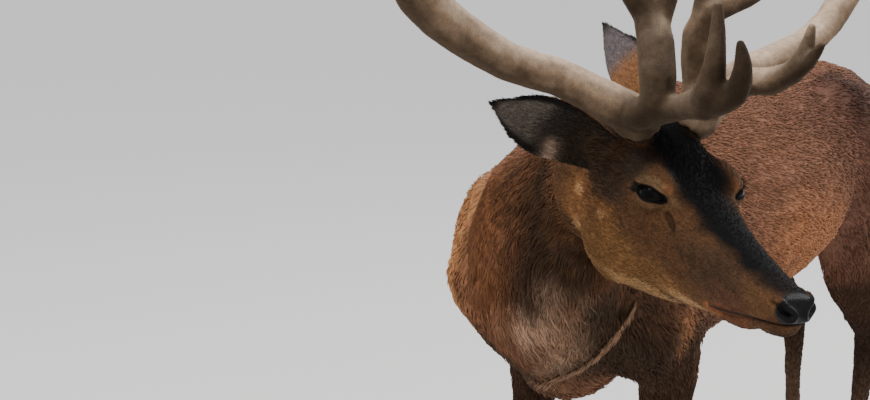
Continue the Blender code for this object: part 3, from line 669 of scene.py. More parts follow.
# Markings over the base: frame, place, reach, colour and strength, later ones on top. A "fold" frame is
# the same on both sides.
bodyMarks = [
    ("fold", (0.00, 0.45, 1.22), (0.10, 0.75, 0.07), rustGrey, 0.7),  # along the back
    ("fold", (0.00, 0.30, 0.64), (0.16, 0.45, 0.09), belly, 0.9),  # belly
    ("fold", (0.24, 0.52, 0.80), (0.12, 0.20, 0.13), orange, 0.75),  # flank
    ("fold", (0.23, 0.33, 0.86), (0.10, 0.14, 0.12), orange, 0.8),
    # painted shade on the upper hindquarters and the croup
    ("fold", (0.16, 0.72, 1.05), (0.18, 0.22, 0.16), rustDark, 0.75),
    ("fold", (0.12, 0.82, 1.07), (0.13, 0.13, 0.10), rustDeepShade, 0.75),
    ("fold", (0.16, 0.98, 1.05), (0.16, 0.16, 0.16), rustGrey, 0.8),  # croup
    ("fold", (0.20, 0.86, 0.86), (0.14, 0.14, 0.16), rustDark, 0.5),  # thigh
    ("fold", (0.00, 1.12, 0.98), (0.085, 0.10, 0.13), paleBuff, 0.95),  # rump patch
    ("fold", (0.08, 1.08, 0.86), (0.08, 0.08, 0.10), paleBuff, 0.7),
    ("body", (0.13, -0.20, 0.82), (0.16, 0.14, 0.20), brisket, 0.95),  # brisket and near shoulder
    ("body", (0.16, -0.08, 0.74), (0.12, 0.16, 0.14), brisket, 0.9),
    ("body", (-0.10, -0.22, 0.72), (0.20, 0.16, 0.10), brisket, 0.95),
    ("body", (-0.16, -0.22, 0.92), (0.10, 0.12, 0.20), neckBrown, 0.8),
    # painted rim light: orange along the far rim of the neck and shoulder, and a painted lit streak on the
    # near shoulder
    ("body", (-0.19, -0.20, 0.96), (0.06, 0.10, 0.22), neckRimLightOrange, 0.8),  # far rim of the neck
    ("body", (0.226, -0.055, 0.79), (0.040, 0.013, 0.10), paintedLightOrange, 0.85),
    ("body", (-0.18, -0.22, 0.87), (0.05, 0.07, 0.09), paintedLightOrange, 0.9),
    ("fold", (0.19, 0.72, 0.80), (0.12, 0.14, 0.13), rustDark, 0.8),
    ("body", (0.035, -0.258, 0.738), (0.065, 0.055, 0.035), throat, 0.85),
]
neckMarks = [
    # painted rim light along the far side of the neck
    ("body", (-0.17, -0.25, 0.94), (0.065, 0.08, 0.28), neckRimLightOrange, 0.9),
    ("body", (-0.03, -0.32, 1.00), (0.055, 0.10, 0.20), neckWarm, 0.7),
    ("body", (0.02, -0.35, 1.06), (0.06, 0.06, 0.14), neckBrown, 0.6),
    ("body", (0.05, -0.39, 0.97), (0.06, 0.07, 0.13), neckWarm, 0.8),
    ("body", (0.160, -0.44, 1.03), (0.060, 0.07, 0.17), neckDark, 0.95),  # dark band under the ear
    ("body", (0.128, -0.425, 0.93), (0.045, 0.06, 0.10), neckDark, 0.85),
    ("body", (0.050, -0.38, 1.075), (0.055, 0.06, 0.045), neckDark, 0.55),
    ("body", (0.13, -0.38, 0.83), (0.10, 0.09, 0.070), throat, 0.95),  # coarse pale hair of the throat
    ("body", (0.125, -0.30, 0.79), (0.06, 0.06, 0.045), throat, 0.85),
    ("body", (0.185, -0.42, 0.895), (0.040, 0.06, 0.060), throat, 0.6),
    ("body", (0.225, -0.42, 0.955), (0.035, 0.05, 0.022), throatPale, 0.6),
    ("body", (0.130, -0.385, 0.858), (0.052, 0.07, 0.055), throatPale, 0.85),
    ("body", (0.172, -0.410, 0.912), (0.028, 0.06, 0.036), throat, 0.7),
    ("body", (0.085, -0.340, 0.812), (0.050, 0.06, 0.040), throatPale, 0.7),
    ("body", (0.24, -0.33, 0.90), (0.05, 0.10, 0.10), neckDark, 0.95),  # shadowed side under the jaw
    ("body", (0.235, -0.43, 0.992), (0.045, 0.06, 0.045), neckDark, 0.85),
    ("body", (0.20, -0.25, 0.86), (0.04, 0.10, 0.10), brisket, 0.9),
    ("body", (0.215, -0.300, 0.845), (0.030, 0.035, 0.020), throatPale, 0.6),
    ("fold", (0.00, -0.25, 1.20), (0.10, 0.25, 0.08), rustGrey, 0.7),  # mane of the nape
]
headMarks = [
    ("face", (0.06, 0.075, -0.11), (0.07, 0.05, 0.09), cheekTan, 0.65),
    ("face", (0.025, 0.075, -0.10), (0.020, 0.04, 0.05), cheekTan, 0.6),
    ("face", (0.17, 0.065, -0.13), (0.13, 0.05, 0.045), jawBrown, 0.8),  # lower half of the cheek
    ("face", (0.10, 0.06, -0.18), (0.09, 0.06, 0.05), jawBrown, 0.75),
    ("face", (0.19, 0.040, -0.165), (0.13, 0.05, 0.016), jawTan, 0.6),  # lower edge of the jaw
    ("face", (0.27, 0.028, -0.138), (0.07, 0.04, 0.012), jawTan, 0.6),
    ("face", (0.22, 0.060, -0.085), (0.10, 0.03, 0.045), cheek, 0.7),
    ("face", (0.29, 0.045, -0.065), (0.07, 0.04, 0.035), faceGrey, 0.55),
    ("face", (0.33, 0.035, -0.085), (0.05, 0.03, 0.022), muzzle, 0.8),
    ("face", (0.335, 0.033, -0.105), (0.04, 0.03, 0.014), muzzleRed, 0.5),  # above and behind the lips
    ("face", (0.295, 0.033, -0.118), (0.022, 0.02, 0.010), browOrange, 0.7),
    ("face", (0.02, 0.04, -0.02), (0.07, 0.06, 0.05), faceGrey, 0.8),  # temple and crown
    ("face", (0.07, 0.076, -0.050), (0.05, 0.03, 0.030), faceGrey, 0.7),
    ("face", (0.09, 0.075, -0.04), (0.05, 0.03, 0.035), faceGrey, 0.55),
    ("face", (0.115, 0.068, 0.000), (0.045, 0.03, 0.028), faceGrey, 0.85),
    ("face", (0.03, 0.000, 0.03), (0.08, 0.055, 0.07), faceGrey, 0.9),  # crown between the antlers
    ("face", (0.13, 0.000, 0.01), (0.13, 0.058, 0.06), faceBlack, 1.0),  # forehead
    # the black widened over both brows: the face's own black, and painted shade on the far brow
    ("face", (0.22, 0.000, 0.00), (0.08, 0.050, 0.05), faceBlack, 0.9),
    ("face", (0.28, 0.000, -0.02), (0.15, 0.036, 0.040), faceBlack, 1.0),  # bridge of the nose
    ("skull", (0.022, -0.070, -0.092), (0.010, 0.03, 0.010), fleck, 0.55),  # flecks on the right cheek
    ("skull", (0.085, -0.075, -0.096), (0.009, 0.03, 0.008), fleck, 0.5),
    ("skull", (0.024, -0.063, -0.148), (0.012, 0.03, 0.012), fleck, 0.5),
    ("face", (0.37, 0.000, -0.035), (0.07, 0.030, 0.022), faceBlack, 0.9),
    ("face", (0.400, 0.0, -0.095), (0.035, 0.03, 0.018), faceGrey, 0.7),  # chin
]


def marked(colors, frames, marks, ripple):
    for where, place, size, tone, strength in marks:
        off = farFrom(frames[where], place, size) + ripple
        colors = mixed(colors, tone, strength * smoothStep(1.15, 0.55, off))
    return colors


def ripples(points, scale, size):
    # soft uneven values, to break the edges of markings
    return np.array([noise.noise(Vector(p) / scale) for p in points]) * size


def paintEar(colors, local, facing, name, member):
    # dark rim and back, paler hair inside towards the root, and painted shade deep in the hollow
    hollow = earHollow(facing, name)
    share, rim = earShare(local, name), earRimness(local, name, member)
    inside = hollow * smoothStep(0.86, 0.66, rim) * smoothStep(0.97, 0.88, share)
    back = 1 - hollow
    edge = smoothStep(0.98, 0.80, rim) * smoothStep(1.0, 0.84, share)
    tuft = hump(share, 0.06, 0.36) * smoothStep(0.2, 0.7, rim) * (local[:, 2] < 0.0) * hollow
    # painted shade in the hollow, darker towards the root
    colors = mixed(colors, mixed(earGrey, earCavityShade, smoothStep(0.62, 0.42, share)), inside)
    colors = mixed(colors, earMauve, back * edge * 0.75)
    colors = mixed(colors, faceGrey, hollow * smoothStep(0.40, 0.26, share))
    colors = mixed(colors, cheekTan * 1.15, back * smoothStep(0.70, 0.56, share) * 0.85)
    return mixed(colors, earPale, tuft * 0.8)


def paintEye(colors, local, side):
    # a tan ring, the brow, painted shade at the rear corner and the bare lids
    distance, height, along, front, reach = lidDistance(local, side)
    near = smoothStep(0.040, 0.030, reach) * (front > -0.1) * (local[:, 0] > 0.08)
    ring = near * smoothStep(0.016, 0.009, distance) * smoothStep(0.002, 0.006, distance)
    ring *= 0.30 + 0.35 * smoothStep(-0.002, 0.008, height)
    brow = near * hump(np.hypot(along - 0.024, height - 0.012), 0.006) * 0.45
    # painted shade at the rear corner of the eye
    corner = near * smoothStep(1.15, 0.8, np.hypot((along + 0.0235) / 0.0145, (height + 0.0005) / 0.0060))
    wide = 0.0036 + 0.0040 * smoothStep(0.012, 0.022, along)
    lids = near * smoothStep(wide, wide * 0.6, distance)
    for tone, share in ((eyeTan, ring), (browOrange, brow), (lidBlack, corner * 0.95), (lidBlack, lids)):
        colors = mixed(colors, tone, share)
    return colors


def paintSkin(skin, labels):
    mesh = skin.data
    points, outward = coordinates(mesh), normals(mesh)
    edges = edgeList(mesh)
    body, local = toBody(points), toHead(points)
    face = foldSides(local, 1)
    frames = {"body": body, "fold": foldSides(body, 0), "face": face, "skull": local}
    low, lower = smoothStep(0.75, 0.45, body[:, 2]), smoothStep(0.52, 0.22, body[:, 2])
    legTone = mixed(legBrown, legDark, low) + (shank - legDark) * lower[:, None]
    colors = np.zeros((len(points), 3))
    for index, name in enumerate(fleshNodes):
        member = labels == index
        colors[member] = baseColors.get(name, legTone[member])
    colors = spread(colors, edges, 14)
    ripple = ripples(points, 0.035, 0.28)
    for marks, endings in ((bodyMarks, ("trunk", "neck", "tail", "_forearm", "_gaskin")),
                           (neckMarks, ("neck", "head", "trunk")), (headMarks, ("head", "neck"))):
        member = spread(isNamed(labels, *endings), edges, 6)[:, 0]
        colors = mixed(colors, marked(colors, frames, marks, ripple), member)
    # hind edges of the legs are lighter
    rear = smoothStep(0.2, 0.8, outward[:, 1]) * smoothStep(0.80, 0.68, body[:, 2]) * 0.5
    colors = mixed(colors, rustDark * 1.5, rear)
    for name in earNames:
        member = isNamed(labels, name)
        colors[member] = paintEar(colors, local, outward @ headAxes.T, name, member)[member]
    for side in (1, -1):
        colors = paintEye(colors, local, side)
    headOnly = spread(isNamed(labels, "head"), edges, 2)[:, 0]
    pad = noseShare(face) * headOnly
    tear = 0.8 * headOnly * hump(nearLine(face, tearLine)[0], 0.0045)
    lips = headOnly * (local[:, 0] > 0.29) * hump(mouthDistance(local), 0.0028) * 0.85
    for tone, share in ((noseBlack, pad), (lidBlack, tear), (lidBlack, lips)):
        colors = mixed(colors, tone, share)
    setColors(mesh, colors)
    damp = mesh.attributes.new("damp", "FLOAT", "POINT")
    damp.data.foreach_set("value", np.clip(pad, 0, 1).astype(np.float32))
    report("skin painted")
    return colors, pad


def noseShare(face):
    # 1 on the bare nose pad, 0 away from it
    return smoothStep(1.08, 0.92, farFrom(face, (0.414, 0.0, -0.050), (0.034, 0.036, 0.021)))


# Ears, in the head's axes: root and tip, and the way the hollow looks.
earPlaces = {
    "ear_right": ((0.030, -0.060, -0.022), (0.002, -0.234, 0.034), (0.90, -0.10, -0.15)),
    "ear_left": ((0.020, 0.056, -0.012), (-0.154, 0.026, 0.086), (0.15, 0.90, -0.25)),
}


def earFrame(name):
    # its root, the way from root to tip, and the way the hollow looks
    root, tip, opening = (np.array(v) for v in earPlaces[name])
    return root, tip - root, opening


def earShare(local, name):
    root, way, _ = earFrame(name)
    return np.clip((local - root) @ way / way.dot(way), 0, 1)


def earRimness(local, name, member, slices=24):
    # how near the edge of the ear a point is: 0 along its middle, 1 at its rim
    root, way, opening = earFrame(name)
    sideways = unit(np.cross(unit(way[None])[0], opening)[None])[0]
    offset = (local - root) @ sideways
    share = earShare(local, name)
    slots = np.clip((share * slices).astype(int), 0, slices - 1)
    low, high = np.full(slices, -0.01), np.full(slices, 0.01)
    for slot in range(slices):
        chosen = offset[member & (slots == slot)]
        if len(chosen) > 8:
            low[slot], high[slot] = np.percentile(chosen, (2, 98))
    at = share * slices - 0.5
    middle, half = (np.interp(at, np.arange(slices), v) for v in ((low + high) / 2, (high - low) / 2))
    return np.abs(offset - middle) / half


def earHollow(facing, name):
    _, way, opening = earFrame(name)
    way = way / np.linalg.norm(way)
    opening = opening - way * opening.dot(way)
    return smoothStep(0.0, 0.45, facing @ (opening / np.linalg.norm(opening)))


def lieOfCoat(points, outward, labels, edges):
    # the way the hair points, at each point of the skin: back, and down on the sides, neck and legs
    body = toBody(points)
    flow = np.zeros_like(points)
    side = np.clip(np.abs(outward[:, 0]), 0, 1)
    ahead = smoothStep(-0.05, -0.25, body[:, 1])
    rear = smoothStep(0.70, 0.95, body[:, 1])
    flow[:, 1] = 1.0 - 0.75 * ahead
    flow[:, 2] = -0.30 * side - 0.95 * ahead - 0.75 * rear * smoothStep(1.12, 1.0, body[:, 2])
    flow[isNamed(labels, *legNames, "tail")] = (0, 0.18, -1)
    flow[isNamed(labels, "neck")] = (-0.20, 0.22, -0.85)
    flow[isNamed(labels, "head")] = -np.array(headForward) - 0.25 * np.array(headUp)
    flow = spread(flow, edges, 20)
    for name in earPlaces:
        flow[isNamed(labels, name)] = earFrame(name)[1] @ headAxes
    return unit(onSurface(spread(flow, edges, 2), outward))


def newMaterial(name, roughness, specular=0.5, sheen=0.0):
    made = bpy.data.materials.new(name)
    made.use_nodes = True
    shader = made.node_tree.nodes["Principled BSDF"]
    shader.inputs["Roughness"].default_value = roughness
    shader.inputs["Sheen Weight"].default_value = sheen
    shader.inputs["Specular IOR Level"].default_value = specular
    return made, made.node_tree, shader


def feed(tree, socket, value):
    if isinstance(value, (int, float)):
        socket.default_value = value
    else:
        tree.links.new(value, socket)


def readAttribute(tree, name, output="Color"):
    reader = tree.nodes.new("ShaderNodeAttribute")
    reader.attribute_name = name
    return reader.outputs[output]


def objectPlace(tree):
    return tree.nodes.new("ShaderNodeTexCoord").outputs["Object"]


def addNoise(tree, source, scale, detail=2):
    texture = tree.nodes.new("ShaderNodeTexNoise")
    texture.inputs["Scale"].default_value = scale
    texture.inputs["Detail"].default_value = detail
    tree.links.new(source, texture.inputs["Vector"])
    return texture.outputs["Fac"]


def addRange(tree, source, toLow, toHigh, low=0.3, high=0.7):
    # a value's range stretched to another one; most noise lies between 0.3 and 0.7
    fit = tree.nodes.new("ShaderNodeMapRange")
    for socket, value in zip(fit.inputs, (source, low, high, toLow, toHigh)):
        feed(tree, socket, value)
    return fit.outputs[0]


def addMath(tree, operation, first, second):
    node = tree.nodes.new("ShaderNodeMath")
    node.operation = operation
    feed(tree, node.inputs[0], first)
    feed(tree, node.inputs[1], second)
    return node.outputs[0]


def addMix(tree, share, first, second):
    mix = tree.nodes.new("ShaderNodeMix")
    mix.data_type = "FLOAT"
    for index, value in ((0, share), (2, first), (3, second)):
        feed(tree, mix.inputs[index], value)
    return mix.outputs[0]


def addTint(tree, tone, amount):
    # a colour times a plain value
    scaled = tree.nodes.new("ShaderNodeVectorMath")
    scaled.operation = "SCALE"
    tree.links.new(tone, scaled.inputs[0])
    tree.links.new(amount, scaled.inputs["Scale"])
    return scaled.outputs[0]


def addBump(tree, shader, height, strength, distance):
    bump = tree.nodes.new("ShaderNodeBump")
    bump.inputs["Strength"].default_value = strength
    bump.inputs["Distance"].default_value = distance
    tree.links.new(height, bump.inputs["Height"])
    tree.links.new(bump.outputs[0], shader.inputs["Normal"])


def makeMottle():
    # uneven lightness shared by skin, coat and velvet
    group = bpy.data.node_groups.new("mottle", "ShaderNodeTree")
    group.interface.new_socket("Tone", in_out="OUTPUT", socket_type="NodeSocketFloat")
    place = objectPlace(group)
    broad = addRange(group, addNoise(group, place, scale=14, detail=3), 0.86, 1.14)
    fine = addRange(group, addNoise(group, place, scale=110), 0.84, 1.16)
    end = group.nodes.new("NodeGroupOutput")
    group.links.new(addMath(group, "MULTIPLY", broad, fine), end.inputs["Tone"])
    return group


mottle = makeMottle()


def addMottle(tree):
    node = tree.nodes.new("ShaderNodeGroup")
    node.node_tree = mottle
    return node.outputs["Tone"]


def makeHide():
    made, tree, shader = newMaterial("hide", roughness=0.80, specular=0.07)
    grain, damp = readAttribute(tree, "grain", "Vector"), readAttribute(tree, "damp", "Fac")
    strands = addNoise(tree, grain, scale=900)
    clumps = addNoise(tree, grain, scale=260)
    shade = addMath(tree, "MULTIPLY", addRange(tree, strands, 0.72, 1.28), addRange(tree, clumps, 0.86, 1.14))
    shade = addMath(tree, "MULTIPLY", shade, addMottle(tree))
    # the damp nose has no strands, and pebbles in their place
    tone = addTint(tree, readAttribute(tree, "coat"), addMix(tree, damp, shade, 1.0))
    tree.links.new(tone, shader.inputs["Base Color"])
    tree.links.new(addRange(tree, damp, 0.72, 0.30, low=0, high=1), shader.inputs["Roughness"])
    cells = tree.nodes.new("ShaderNodeTexVoronoi")
    cells.inputs["Scale"].default_value = 620
    tree.links.new(objectPlace(tree), cells.inputs["Vector"])
    pebbles = addMath(tree, "MULTIPLY", cells.outputs["Distance"], -0.8)
    addBump(tree, shader, addMix(tree, damp, strands, pebbles), strength=0.55, distance=0.0010)
    return made


def makeCoatHair():
    made, tree, shader = newMaterial("coatHair", roughness=0.75, specular=0.10)
    tone = addTint(tree, readAttribute(tree, "coat"), addMottle(tree))
    tree.links.new(tone, shader.inputs["Base Color"])
    return made


def makeVelvet():
    made, tree, shader = newMaterial("velvet", roughness=0.85, specular=0.06, sheen=0.12)
    shader.inputs["Sheen Roughness"].default_value = 0.45
    shader.inputs["Sheen Tint"].default_value = (*color(226, 200, 172), 1)
    place = objectPlace(tree)
    fine, soft = addNoise(tree, place, scale=700), addNoise(tree, place, scale=60)
    shade = addMath(tree, "MULTIPLY", addRange(tree, fine, 0.80, 1.20), addMottle(tree))
    tree.links.new(addTint(tree, readAttribute(tree, "coat"), shade), shader.inputs["Base Color"])
    height = addMath(tree, "ADD", addMath(tree, "MULTIPLY", soft, 3.0), fine)
    addBump(tree, shader, height, strength=0.5, distance=0.0012)
    return made


def makeHorn():
    made, tree, shader = newMaterial("horn", roughness=0.42)
    rings = tree.nodes.new("ShaderNodeMapping")
    rings.inputs["Scale"].default_value = (60, 60, 520)
    tree.links.new(objectPlace(tree), rings.inputs["Vector"])
    bands = addNoise(tree, rings.outputs[0], scale=1, detail=3)
    base = tree.nodes.new("ShaderNodeRGB")
    base.outputs[0].default_value = (*color(43, 36, 32), 1)
    tone = addTint(tree, base.outputs[0], addRange(tree, bands, 0.6, 1.5))
    tree.links.new(tone, shader.inputs["Base Color"])
    addBump(tree, shader, bands, strength=0.5, distance=0.0010)
    return made


def makeEyeLook():
    made, tree, shader = newMaterial("eyeball", roughness=0.10, specular=0.07)
    fibres = addRange(tree, addNoise(tree, objectPlace(tree), scale=1400, detail=3), 0.7, 1.3)
    tree.links.new(addTint(tree, readAttribute(tree, "coat"), fibres), shader.inputs["Base Color"])
    return made


hide, coatHair, velvet, horn, eyeLook = makeHide(), makeCoatHair(), makeVelvet(), makeHorn(), makeEyeLook()


def setGrain(mesh):
    # coordinates stretched along the lie of the hair, for its strands in the relief
    stretch = toHead(coordinates(mesh)) * [0.20, 1.0, 1.0]
    layer = mesh.attributes.new("grain", "FLOAT_VECTOR", "POINT")
    layer.data.foreach_set("vector", stretch.astype(np.float32).ravel())


def cellUnwrap(points, cells):
    # unrolls the skin round the long axis of each cell's patch, one cell beside the other in the square
    places = np.zeros((len(points), 2))
    names = np.unique(cells)
    across = math.ceil(math.sqrt(len(names)))
    for index, name in enumerate(names):
        member = np.nonzero(cells == name)[0]
        offset = points[member] - points[member].mean(0)
        axes = np.linalg.svd(offset[:: max(1, len(member) // 2000)], full_matrices=False)[2]
        along, first, second = (offset @ axis for axis in axes)
        along = (along - along.min()) / max(np.ptp(along), 1e-6)
        turn = np.arctan2(first, second) / (2 * math.pi) + 0.5
        corner = np.array([index % across, index // across]) / across
        places[member] = corner + np.stack([turn, along], 1) * 0.96 / across + 0.01 / across
    return places


# The coat's pieces: how many locks, and their length, width, rise and settle in metres and slopes. "rise"
# is how steeply a lock leaves the skin and "settle" how much it comes back down towards the tip.
neckCoat = {"nodes": ("neck",), "count": 19500, "length": 0.044, "width": 0.0028, "rise": 0.24,
            "settle": 0.20}
trunkCoat = {"nodes": ("trunk",), "count": 18500, "length": 0.024, "width": 0.0032, "rise": 0.22,
             "settle": 0.18}
coatPieces = {
    "coatFace": {"nodes": ("head",), "count": 19000, "length": 0.0080, "width": 0.0013, "rise": 0.22,
                 "settle": 0.17, "contrast": 0.45},
    "coatEars": {"nodes": earNames, "count": 8500, "length": 0.0085, "width": 0.0011, "rise": 0.16,
                 "settle": 0.12},
    "coatNeckLeft": {**neckCoat, "side": 1},
    "coatNeckRight": {**neckCoat, "side": -1},
    "coatTrunkFront": {**trunkCoat, "length": 0.026, "width": 0.0033, "span": (-9, 0.20)},
    "coatTrunkMiddle": {**trunkCoat, "span": (0.20, 0.60)},
    "coatTrunkRear": {**trunkCoat, "nodes": ("trunk", "tail"), "span": (0.60, 9)},
    "coatLegs": {"nodes": legNames, "count": 17500, "length": 0.015, "width": 0.0023, "rise": 0.17,
                 "settle": 0.13, "contrast": 0.55},
}
# How much locks differ from one another.
coatVaries = {"swirl": 0.16, "brightness": 0.16, "hue": 0.03, "size": (0.75, 1.2), "lift": (0.7, 1.3)}


def triangleData(mesh):
    mesh.calc_loop_triangles()
    corners = np.empty(len(mesh.loop_triangles) * 3, np.int32)
    mesh.loop_triangles.foreach_get("vertices", corners)
    return corners.reshape(-1, 3)


def scatter(points, triangles, weights, count, random):
    # places on the surface: the triangle and the shares of its corners
    a, b, c = (points[triangles[:, k]] for k in range(3))
    area = np.linalg.norm(np.cross(b - a, c - a), axis=1) / 2 * weights
    chosen = np.searchsorted(np.cumsum(area) / area.sum(), (np.arange(count) + random.random(count)) / count)
    chosen = np.clip(chosen, 0, len(triangles) - 1)
    r, s = np.sqrt(random.random(count)), random.random(count)
    return triangles[chosen], np.stack([1 - r, r * (1 - s), r * s], 1)


def blendAt(values, corners, shares):
    return np.einsum("nk,nkj->nj", shares, values[corners])


def rootsOn(points, outward, triangles, weights, count, random):
    # where locks start, with the way out of the skin there
    corners, shares = scatter(points, triangles, weights, count, random)
    return corners, shares, blendAt(points, corners, shares), unit(blendAt(outward, corners, shares))


# A lock: how deep it starts, how high its ridge is over half its width, how it narrows and brightens from
# its root on, how much it sways, and the size of its patch in the map.
lockMaking = {"rootDepth": 0.0012, "ridge": 1.1, "widths": (1.0, 0.95), "shades": (-0.38, 0.0),
              "tipShade": 0.22, "sway": 0.10, "patch": 0.003}


def makeLocks(name, roots, outward, flow, tones, cells, sizes, random, rings=1, contrast=1.0):
    # sizes: length, width, rise and settle, of every lock or of all; rings are those above the root
    count = len(roots)
    length, width, rise, settle = (np.broadcast_to(values, count) for values in sizes)
    across = unit(np.cross(outward, flow))
    sway = random.normal(0, lockMaking["sway"], count)

    def centerAt(level, depth=0.0):
        lift = length * (rise * level - settle * level ** 2) - depth
        return (roots + flow * (length * level)[:, None] + across * (length * sway * level ** 2)[:, None]
                + outward * lift[:, None])

    corners, shades = [], []
    for index, level in enumerate(np.linspace(0, 1, rings + 2)[:-1]):
        center = centerAt(level, lockMaking["rootDepth"] * (index == 0))
        half = width / 2 * lockMaking["widths"][index]
        for side, up in ((-1, 0), (1, 0), (0, lockMaking["ridge"])):
            corners.append(center + across * (half * side)[:, None] + outward * (half * up)[:, None])
            shades.append(np.full(count, 1 + lockMaking["shades"][index] * contrast))
    corners.append(centerAt(1.0))
    shades.append(np.full(count, 1 + lockMaking["tipShade"] * contrast))
    size = len(corners)
    points = np.stack(corners, 1).reshape(-1, 3)
    shade = np.stack(shades, 1).reshape(-1)
    # three-sided all along: a closed root, walls between the rings, and a point
    quads = [(3 * ring + k, 3 * ring + (k + 1) % 3, 3 * ring + (k + 1) % 3 + 3, 3 * ring + k + 3)
             for ring in range(rings) for k in range(3)]
    ends = [(0, 2, 1)] + [(3 * rings + k, 3 * rings + (k + 1) % 3, size - 1) for k in range(3)]
    start = (np.arange(count) * size)[:, None, None]
    quadLoops = (start + np.array(quads, int).reshape(1, -1, 4)).reshape(count, -1)
    endLoops = (start + np.array(ends, int)[None]).reshape(count, -1)
    loops = np.concatenate([quadLoops, endLoops], 1).ravel()
    totals = np.tile([4] * len(quads) + [3] * len(ends), count)
    mesh = bpy.data.meshes.new(name)
    mesh.vertices.add(len(points))
    mesh.vertices.foreach_set("co", points.astype(np.float32).ravel())
    mesh.loops.add(len(loops))
    mesh.loops.foreach_set("vertex_index", loops.astype(np.int32))
    mesh.polygons.add(len(totals))
    mesh.polygons.foreach_set("loop_start", (np.cumsum(totals) - totals).astype(np.int32))
    mesh.update(calc_edges=True)
    mesh.validate()
    owner = np.repeat(np.arange(count), size)
    setColors(mesh, tones[owner] * shade[:, None])
    local = points - roots[owner]
    patch = np.stack([np.sum(local * across[owner], 1) / width[owner],
                      np.sum(local * flow[owner], 1) / length[owner] - 0.5], 1)
    spots = cellUnwrap(roots, cells)[owner] + np.clip(patch, -0.5, 0.5) * lockMaking["patch"]
    layer = mesh.uv_layers.new(name="OFBake")
    layer.uv.foreach_set("vector", spots[loops].astype(np.float32).ravel())
    dress(mesh, coatHair)
    return newObject(name, mesh)


def makeCoat(skin, labels, colors, bare):
    mesh = skin.data
    points, outward = coordinates(mesh), normals(mesh)
    flow = lieOfCoat(points, outward, labels, edgeList(mesh))
    triangles = triangleData(mesh)
    middle = toBody(points)[triangles].mean(1)
    headMiddle = toHead(points)[triangles].mean(1)
    owner = labels[triangles[:, 0]]
    haired = np.clip(1 - bare[triangles].mean(1), 0, 1)
    for index, (name, sizes) in enumerate(coatPieces.items()):
        random = np.random.default_rng(40 + index)
        count, contrast = sizes["count"], sizes.get("contrast", 1.0)
        wanted = isNamed(owner, *sizes["nodes"]).astype(float)
        if "span" in sizes:
            wanted *= (middle[:, 1] > sizes["span"][0]) & (middle[:, 1] <= sizes["span"][1])
        if "side" in sizes:
            wanted *= (neckSide(middle) > 0) == (sizes["side"] > 0)
        wanted *= haired * hairCover(name, headMiddle)
        corners, shares, roots, up = rootsOn(points, outward, triangles, wanted, count, random)
        way = unit(blendAt(flow, corners, shares))
        way = unit(way + np.cross(up, way) * random.normal(0, coatVaries["swirl"], count)[:, None])
        brightness = np.exp(random.normal(0, coatVaries["brightness"] * contrast, count))
        hue = 1 + random.normal(0, coatVaries["hue"], (count, 3))
        tones = blendAt(colors, corners, shares) * brightness[:, None] * hue
        scale = hairScale(name, toHead(roots), toBody(roots))
        length = sizes["length"] * scale * random.uniform(*coatVaries["size"], count)
        width = sizes["width"] * np.sqrt(scale) * random.uniform(*coatVaries["size"], count)
        rise = sizes["rise"] * random.uniform(*coatVaries["lift"], count)
        settle = sizes["settle"] * random.uniform(*coatVaries["lift"], count)
        piece = makeLocks(name, roots, up, way, tones, labels[corners[:, 0]],
                          (length, width, rise, settle), random, contrast=contrast)
        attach(piece, "root")
        report(f"{name}: {count} locks, {len(triangleData(piece.data))} triangles")


def neckSide(middle):
    # which side of the neck's own middle a place is on
    return middle[:, 0] * 0.93 - (-0.35 - middle[:, 1]) * 0.37 - 0.03


def creaseBehindJaw(local):
    return smoothStep(-0.14, -0.18, local[:, 2]) * smoothStep(0.12, 0.06, local[:, 0])


def hairCover(name, local):
    # where a piece grows, from 0 to 1, or more where it is denser
    cover = np.ones(len(local))
    if name.startswith("coatNeck"):
        for side in (1, -1):
            off = farFrom(local * [1, side, 1], (-0.005, 0.038, -0.215))
            cover += 3.0 * smoothStep(0.055, 0.025, off)
    if name != "coatFace":
        return cover
    for side in (1, -1):
        distance, _, _, front, reach = lidDistance(local, side)
        cover *= 1 - ((reach < 0.05) & (front > 0)) * smoothStep(0.0060, 0.0035, distance)
    cover *= 1 - (local[:, 0] > 0.28) * smoothStep(0.0040, 0.0020, mouthDistance(local))
    return cover * (1 - 0.45 * smoothStep(0.10, 0.0, local[:, 0]) + 1.6 * creaseBehindJaw(local))


def hairScale(name, local, body):
    # hair is shorter towards the nose and the feet
    if name == "coatFace":
        scale = (1.5 - 0.95 * smoothStep(0.0, 0.30, local[:, 0])) * (1 + 0.8 * creaseBehindJaw(local))
        for side in (1, -1):
            scale *= 1 - 0.35 * smoothStep(0.045, 0.028, eyeReach(local, side))
        return scale
    if name.startswith("coatNeck"):
        return 0.75 + 0.45 * smoothStep(1.12, 0.85, body[:, 2])
    if name == "coatLegs":
        return 0.60 + 0.70 * smoothStep(0.25, 0.70, body[:, 2]) + 0.5 * smoothStep(0.085, 0.065, body[:, 2])
    return np.ones(len(local))


# Antlers: how finely they are joined, their knobs, and how dark their tips are; then their fuzz.
antlerMaking = {"overlap": 0.0012, "voxel": 0.0026, "turns": 30, "keep": 0.5, "knobs": 0.0004,
                "burrKnobs": 0.0016, "tipDark": 0.75}
fuzzMaking = {"count": 11000, "length": 0.0032, "width": 0.0007, "rise": 0.75, "settle": 0.35}
# Velvet colours: its own tone, a painted highlight for faces turned up, and painted shade for faces turned
# down, also used for the darker tips.
velvetTone, velvetLit, velvetShadeAndTip = color(122, 101, 81), color(208, 182, 156), color(34, 25, 16)
# how dark the painted shade on each tine is, on the right and on the left
tinePaintedShade = {"brow_fork": (0.80, 0.25), "brow": (0.75, 0.20), "bez_fork": (0.30, 0.25), "bez": (0.84, 0.40)}


def shadeOfTine(name, side):
    fitting = [pair[side == "left"] for part, pair in tinePaintedShade.items() if name.endswith("_" + part)]
    return fitting[0] if fitting else 0.0


